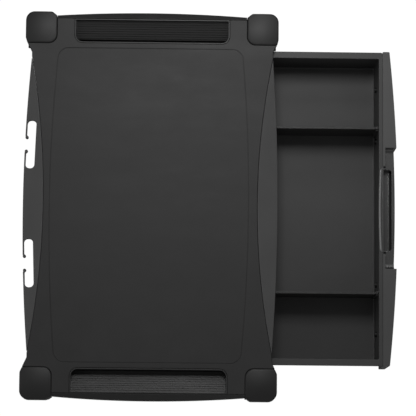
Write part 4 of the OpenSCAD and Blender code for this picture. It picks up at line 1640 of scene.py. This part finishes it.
@dataclass
class DrawerPull:
    """Pull: a ledge with upturned ends and a finger pocket, and the bead over the drawer's rim."""

    plan: DrawerPlan
    edge_r: float = 0.45
    end_r: float = 5
    end_flat: float = 0.6
    end_chord: float = 3.2
    end_blend: float = 1
    ledge_drop: float = 5.2
    pocket_half: float = 52.5
    pocket_depth: float = 17
    pocket_w: float = 11.1
    pocket_in: float = 0.7
    pocket_r: float = 3.4
    scoop_start: float = -0.4
    scoop_h: float = 6
    floor_t: float = 1.8
    floor_sink: float = 0.2
    side_t: float = 2
    housing_t: float = 1.6
    housing_rise: float = 0.7
    housing_r: float = 0.4
    housing_sink: float = 0.1
    bead_w: float = 3.2
    bead_h: float = 2.0
    bead_sink: float = 0.2
    bead_inward: float = 0.4
    bead_bow: float = 1.3
    bead_hook: float = 1.2
    bead_over: float = 1.5
    bead_taper: float = 0.07
    bead_tip: float = 0.02

    @property
    def pocket_ends(self) -> tuple[float, float]:
        """Both ends of the pocket, along x."""
        return self.plan.pocket_x - self.pocket_half, self.plan.pocket_x + self.pocket_half

    @property
    def inner_y(self) -> float:
        """Y of the pocket's wall beside the drawer."""
        return self.plan.tray.low.y - self.pocket_in

    @property
    def back(self) -> float:
        """Y of the pull's back."""
        return self.plan.front.high.y - self.plan.web - self.plan.gap

    def build(self) -> None:
        """Builds and dresses the pull."""
        plan, box, back = self.plan, self.plan.pull, self.back
        half, r, chord = box.size.x / 2, self.end_r, self.end_chord
        flat = half - r - self.end_flat
        ledge = plan.rim_z - self.ledge_drop
        bow_half = flat - self.end_blend

        def height(x: float, y: float) -> float:
            """Height of the ledge, which turns up at its ends.

            Args:
                x: X of a point on it.
                y: Y of the point, which makes no difference.

            Returns:
                The height.
            """
            run = min(max(0.0, abs(x) - flat), r)
            if run < chord:
                return ledge + run * (r - math.sqrt(r * r - chord * chord)) / chord
            return ledge + r - math.sqrt(r * r - run * run)

        def face_y(x: float) -> float:
            """Y of the bowed face at x."""
            return box.low.y + arc_drop(plan.bow_radius, min(abs(x), bow_half))

        ends = spread(flat, half, count=12)
        face = [-x for x in ends[::-1]] + spread(-bow_half, bow_half, count=30) + ends
        loop = [Vector((x, face_y(x))) for x in face] + [Vector((x, back)) for x in ends[::-1]]
        loop += self._pocket_path() + [Vector((-x, back)) for x in ends]
        piece = Moulding("drawer_pull_moulded")
        piece.block(loop, box.low.z, height, self.edge_r, self.edge_r)
        self._housing(piece)
        self._well(piece)
        piece.finish("drawer", PULL.material(), PULL.slot, ["drawer_pull"])
        self._bead()

    def _pocket_path(self) -> Loop:
        """The pocket's outline.

        Returns:
            Its points from the right end at the pull's back round to the left end.
        """
        (x0, x1), front, back, r = self.pocket_ends, self.inner_y - self.pocket_w, self.back, self.pocket_r
        notch = rounded([(x1, front, r), (x1, back, 0), (x0, back, 0), (x0, front, r)], step=12)
        first = max(range(len(notch)), key=lambda i: (notch[i].y, notch[i].x))
        return [notch[first]] + (notch[first + 1:] + notch[:first])[::-1]

    def _housing(self, piece: Moulding) -> None:
        """Adds the pocket's housing behind the ledge, which reaches up to the rim.

        Args:
            piece: The pull.
        """
        t, y0, y1 = self.side_t, self.back - self.housing_sink, self.inner_y
        y2 = y1 + self.housing_t
        x0, x1 = self.pocket_ends
        loop = [Vector(p) for p in ((x0 - t, y0), (x0, y0), (x0, y1), (x1, y1),
                                    (x1, y0), (x1 + t, y0), (x1 + t, y2), (x0 - t, y2))]
        rim = self.plan.rim_z
        piece.block(loop, rim - self.pocket_depth - t, rim + self.housing_rise, 0, self.housing_r)

    def _well(self, piece: Moulding) -> None:
        """Adds the pocket's floor, which rises towards the front.

        Args:
            piece: The pull.
        """
        (x0, x1), y1, sink = self.pocket_ends, self.inner_y, self.floor_sink
        floor, rows = self.plan.rim_z - self.pocket_depth, 14
        grid = [[(x, y, floor + self.scoop_h * max(0.0, self.scoop_start - v) ** 2)
                 for x in spread(x0 - sink, x1 + sink, count=30)]
                for y, v in zip(spread(y1 - self.pocket_w - sink, y1 + sink, rows), spread(-1, 1, rows))]
        piece.plate(grid, self.floor_t)

    def _bead(self) -> None:
        """Builds the glossy bead over the rim, in a plastic lightened to paint its highlight; it bows towards
        the drawer and its ends hook outwards.
        """
        plan, half_w = self.plan, self.bead_w / 2
        middle_y, low = plan.inner_front - half_w + self.bead_inward, plan.rim_z - self.bead_sink
        half = self.pocket_half + self.bead_over
        piece = Moulding("drawer_pull_bead_moulded")
        sections = []
        for u in spread(-1, 1, count=60):
            taper = min(1.0, (1 - abs(u)) / self.bead_taper)
            swell = math.sqrt(max(self.bead_tip, 1 - (1 - taper) ** 2))
            x = plan.pocket_x + half * u
            y = middle_y - self.bead_bow * u * u - self.bead_hook * (1 - taper) ** 2
            arc = [(x, y + half_w * swell * math.cos(a), low + self.bead_h * swell * math.sin(a))
                   for a in spread(0, math.pi, count=12)]
            sections.append([piece.mesh.verts.new(p) for p in arc])
        piece.skin(sections)
        piece.cap(sections[0])
        piece.cap(sections[-1])
        piece.finish("drawer", BEAD_LIGHTENED_FOR_HIGHLIGHT.material(), BEAD_LIGHTENED_FOR_HIGHLIGHT.slot, ["drawer_pull"], sharp=60)


@dataclass
class Divider:
    """Lift-out divider with a beaded top edge and a small window."""

    plan: DrawerPlan
    node: str
    top_r: float = 1
    foot_gap: float = 0.5
    edge_r: float = 0.4
    window: tuple[float, float] = (9, 4)
    window_r: float = 1.5
    window_edge_r: float = 0.3
    window_y: float = -102.48
    window_drop: float = 6
    bead_t: float = 0.6
    bead_h: float = 1.8
    bead_sink: float = 0.3
    bead_in: float = 5

    def build(self) -> None:
        """Builds and dresses the divider, whose side is drawn in plan and turned upright."""
        box = Box.of(self.node)
        half, x, low, high = self.plan.divider_t / 2, box.middle.x, box.low, box.high
        r, top_r = self.plan.floor_round + self.foot_gap, self.top_r
        outline = rounded([(high.y, high.z, top_r), (low.y, high.z, top_r), (low.y, low.z, r),
                           (high.y, low.z, r)], step=15)
        window = rectangle(*self.window, self.window_r, (self.window_y, high.z - self.window_drop), step=15)
        piece = Moulding(f"{self.node}_moulded")
        left, right = piece.wall(outline, -half, half, self.edge_r, self.edge_r)
        hole = piece.wall(window, -half, half, self.window_edge_r, self.window_edge_r, hollow=True)
        piece.face(left, hole[0])
        piece.face(right, hole[1])
        upright = Matrix(((0, 0, 1, 0), (1, 0, 0, 0), (0, 1, 0, 0), (0, 0, 0, 1)))
        piece.place(Matrix.Translation((x, 0, 0)) @ upright)
        for s in (-1, 1):
            near, far = sorted((x + s * (half - self.bead_sink), x + s * (half + self.bead_t)))
            piece.bar((near, low.y + self.bead_in, high.z - self.bead_h),
                      (far, high.y - self.bead_in, high.z), self.edge_r)
        piece.finish("drawer", DIVIDER.material(), DIVIDER.slot, [self.node])


# ---------- studio ----------


@dataclass(frozen=True)
class Softbox:
    """Square area lamp; its place and size are in metres and its power in watts."""

    name: str
    place: tuple[float, float, float]
    size: float
    power: float

    def hang(self, aim: Vector) -> None:
        """Hangs the lamp so that it looks at a point.

        Args:
            aim: The point, in metres.
        """
        data = bpy.data.lights.new(self.name, "AREA")
        data.shape = "SQUARE"
        data.size = self.size
        data.energy = self.power
        lamp = bpy.data.objects.new(self.name, data)
        lamp.location = self.place
        lamp.rotation_euler = (aim - Vector(self.place)).to_track_quat("-Z", "Y").to_euler()
        bpy.context.scene.collection.objects.link(lamp)


@dataclass
class Studio:
    """Camera, lamps, pale floor and white surroundings; its sizes are in metres."""

    camera_place: tuple[float, float, float] = (-0.392, 0.0515, 3.0915)
    tilt: tuple[float, float, float] = (-7.435, -0.938, 0.502)
    focal_px: float = 2348.3
    frame_px: float = 416
    sensor_mm: float = 36
    view_reach: float = 20
    floor_half: float = 6
    floor_drop: float = 0.0005
    paper_tone: float = 0.5
    glow: float = 1.06
    glow_share: float = 0.95
    sky_light: float = 0.288
    aim: tuple[float, float, float] = (0, 0, 0.1)
    lamps: tuple[Softbox, ...] = (
        Softbox("key", (0.55, 0.0, 1.5), 0.4, 7.04),
        Softbox("near", (0.34, 0.0, 0.72), 0.25, 0.4),
        Softbox("glint", (0.9, -0.16, 0.9), 0.25, 1.92),
        Softbox("low", (-1.3, -0.2, 0.9), 0.8, 1.5),
        Softbox("rear", (0.0, 1.5, 1.3), 1.0, 5.28),
        Softbox("front", (0.0, -1.5, 1.3), 1.0, 2.56),
    )

    def camera(self) -> None:
        """Places the camera."""
        data = bpy.data.cameras.new("camera")
        data.sensor_width = self.sensor_mm
        data.lens = self.focal_px * self.sensor_mm / self.frame_px
        data.clip_end = self.view_reach
        shooter = bpy.data.objects.new("camera", data)
        bpy.context.scene.collection.objects.link(shooter)
        shooter.matrix_world = self._camera_matrix()
        bpy.context.scene.camera = shooter

    def _camera_matrix(self) -> Matrix:
        """The camera's place and turn: it looks down with +X up in the picture.

        Returns:
            The camera's matrix in the world.
        """
        rx, ry, rz = (math.radians(a) for a in self.tilt)
        turn_x = Matrix(((1, 0, 0), (0, math.cos(rx), -math.sin(rx)), (0, math.sin(rx), math.cos(rx))))
        turn_y = Matrix(((math.cos(ry), 0, math.sin(ry)), (0, 1, 0), (-math.sin(ry), 0, math.cos(ry))))
        turn_z = Matrix(((math.cos(rz), -math.sin(rz), 0), (math.sin(rz), math.cos(rz), 0), (0, 0, 1)))
        rows = turn_z @ turn_x @ turn_y @ Matrix.Diagonal((1, 1, -1))
        right, down, ahead = (Vector((-rows[i][1], -rows[i][0], rows[i][2])) for i in range(3))
        basis = Matrix((right, -down, -ahead)).transposed()
        return Matrix.Translation(self.camera_place) @ basis.to_4x4()

    def floor(self) -> None:
        """Lays the floor: white to the camera, with the object's soft shadow."""
        data = bpy.data.meshes.new("floor")
        half, tone = self.floor_half, self.paper_tone
        data.from_pydata([(-half, -half, 0), (half, -half, 0), (half, half, 0), (-half, half, 0)], [],
                         [(0, 1, 2, 3)])
        plane = bpy.data.objects.new("floor", data)
        plane.location.z = -self.floor_drop
        bpy.context.scene.collection.objects.link(plane)
        material = bpy.data.materials.new("floor paper")
        tree = ShaderTree(material)
        paper = tree.add("ShaderNodeBsdfDiffuse", inputs={"Color": (tone, tone, tone, 1)})
        glow = tree.add("ShaderNodeEmission", inputs={"Color": (1, 1, 1, 1), "Strength": self.glow})
        rays = tree.add("ShaderNodeLightPath", output="Is Camera Ray")
        mixed = tree.add("ShaderNodeMixShader", inputs={0: rays * self.glow_share, 1: paper, 2: glow})
        tree.add("ShaderNodeOutputMaterial", inputs={"Surface": mixed})
        data.materials.append(material)

    def surroundings(self) -> None:
        """Sets the world: white to the camera, plain grey as light."""
        world = bpy.data.worlds.new("surroundings")
        bpy.context.scene.world = world
        tree = ShaderTree(world)
        light = tree.add("ShaderNodeBackground", inputs={"Strength": self.sky_light})
        white = tree.add("ShaderNodeBackground", inputs={"Color": (1, 1, 1, 1)})
        rays = tree.add("ShaderNodeLightPath", output="Is Camera Ray")
        mixed = tree.add("ShaderNodeMixShader", inputs={0: rays, 1: light, 2: white})
        tree.add("ShaderNodeOutputWorld", inputs={"Surface": mixed})

    def build(self) -> None:
        """Builds the whole studio."""
        self.camera()
        self.floor()
        self.surroundings()
        for lamp in self.lamps:
            lamp.hang(Vector(self.aim))


def main() -> None:
    """Builds the studio and the pieces in order."""
    logging.basicConfig(level=logging.INFO, format="%(message)s", force=True)
    bpy.context.scene.view_settings.view_transform = "Standard"
    Studio().build()
    stand = StandPlan()
    Deck(stand).build()
    Rail(stand, End.FRONT).build("front_bezel")
    Rail(stand, End.REAR, slots=(stand.slot_x, -stand.slot_x)).build("rear_cable_rail")
    for side in Side:
        SideSkirt(stand, side).build()
        SideTray(stand, side).build()
        for end in End:
            CornerPost(stand, side, end).build()
    UnderFrame().dress()
    drawer = DrawerPlan()
    DrawerTray(drawer).build()
    DrawerFront(drawer).build()
    DrawerPull(drawer).build()
    for node in drawer.dividers:
        Divider(drawer, node).build()
    bpy.context.view_layer.update()


if __name__ == "__main__":
    main()
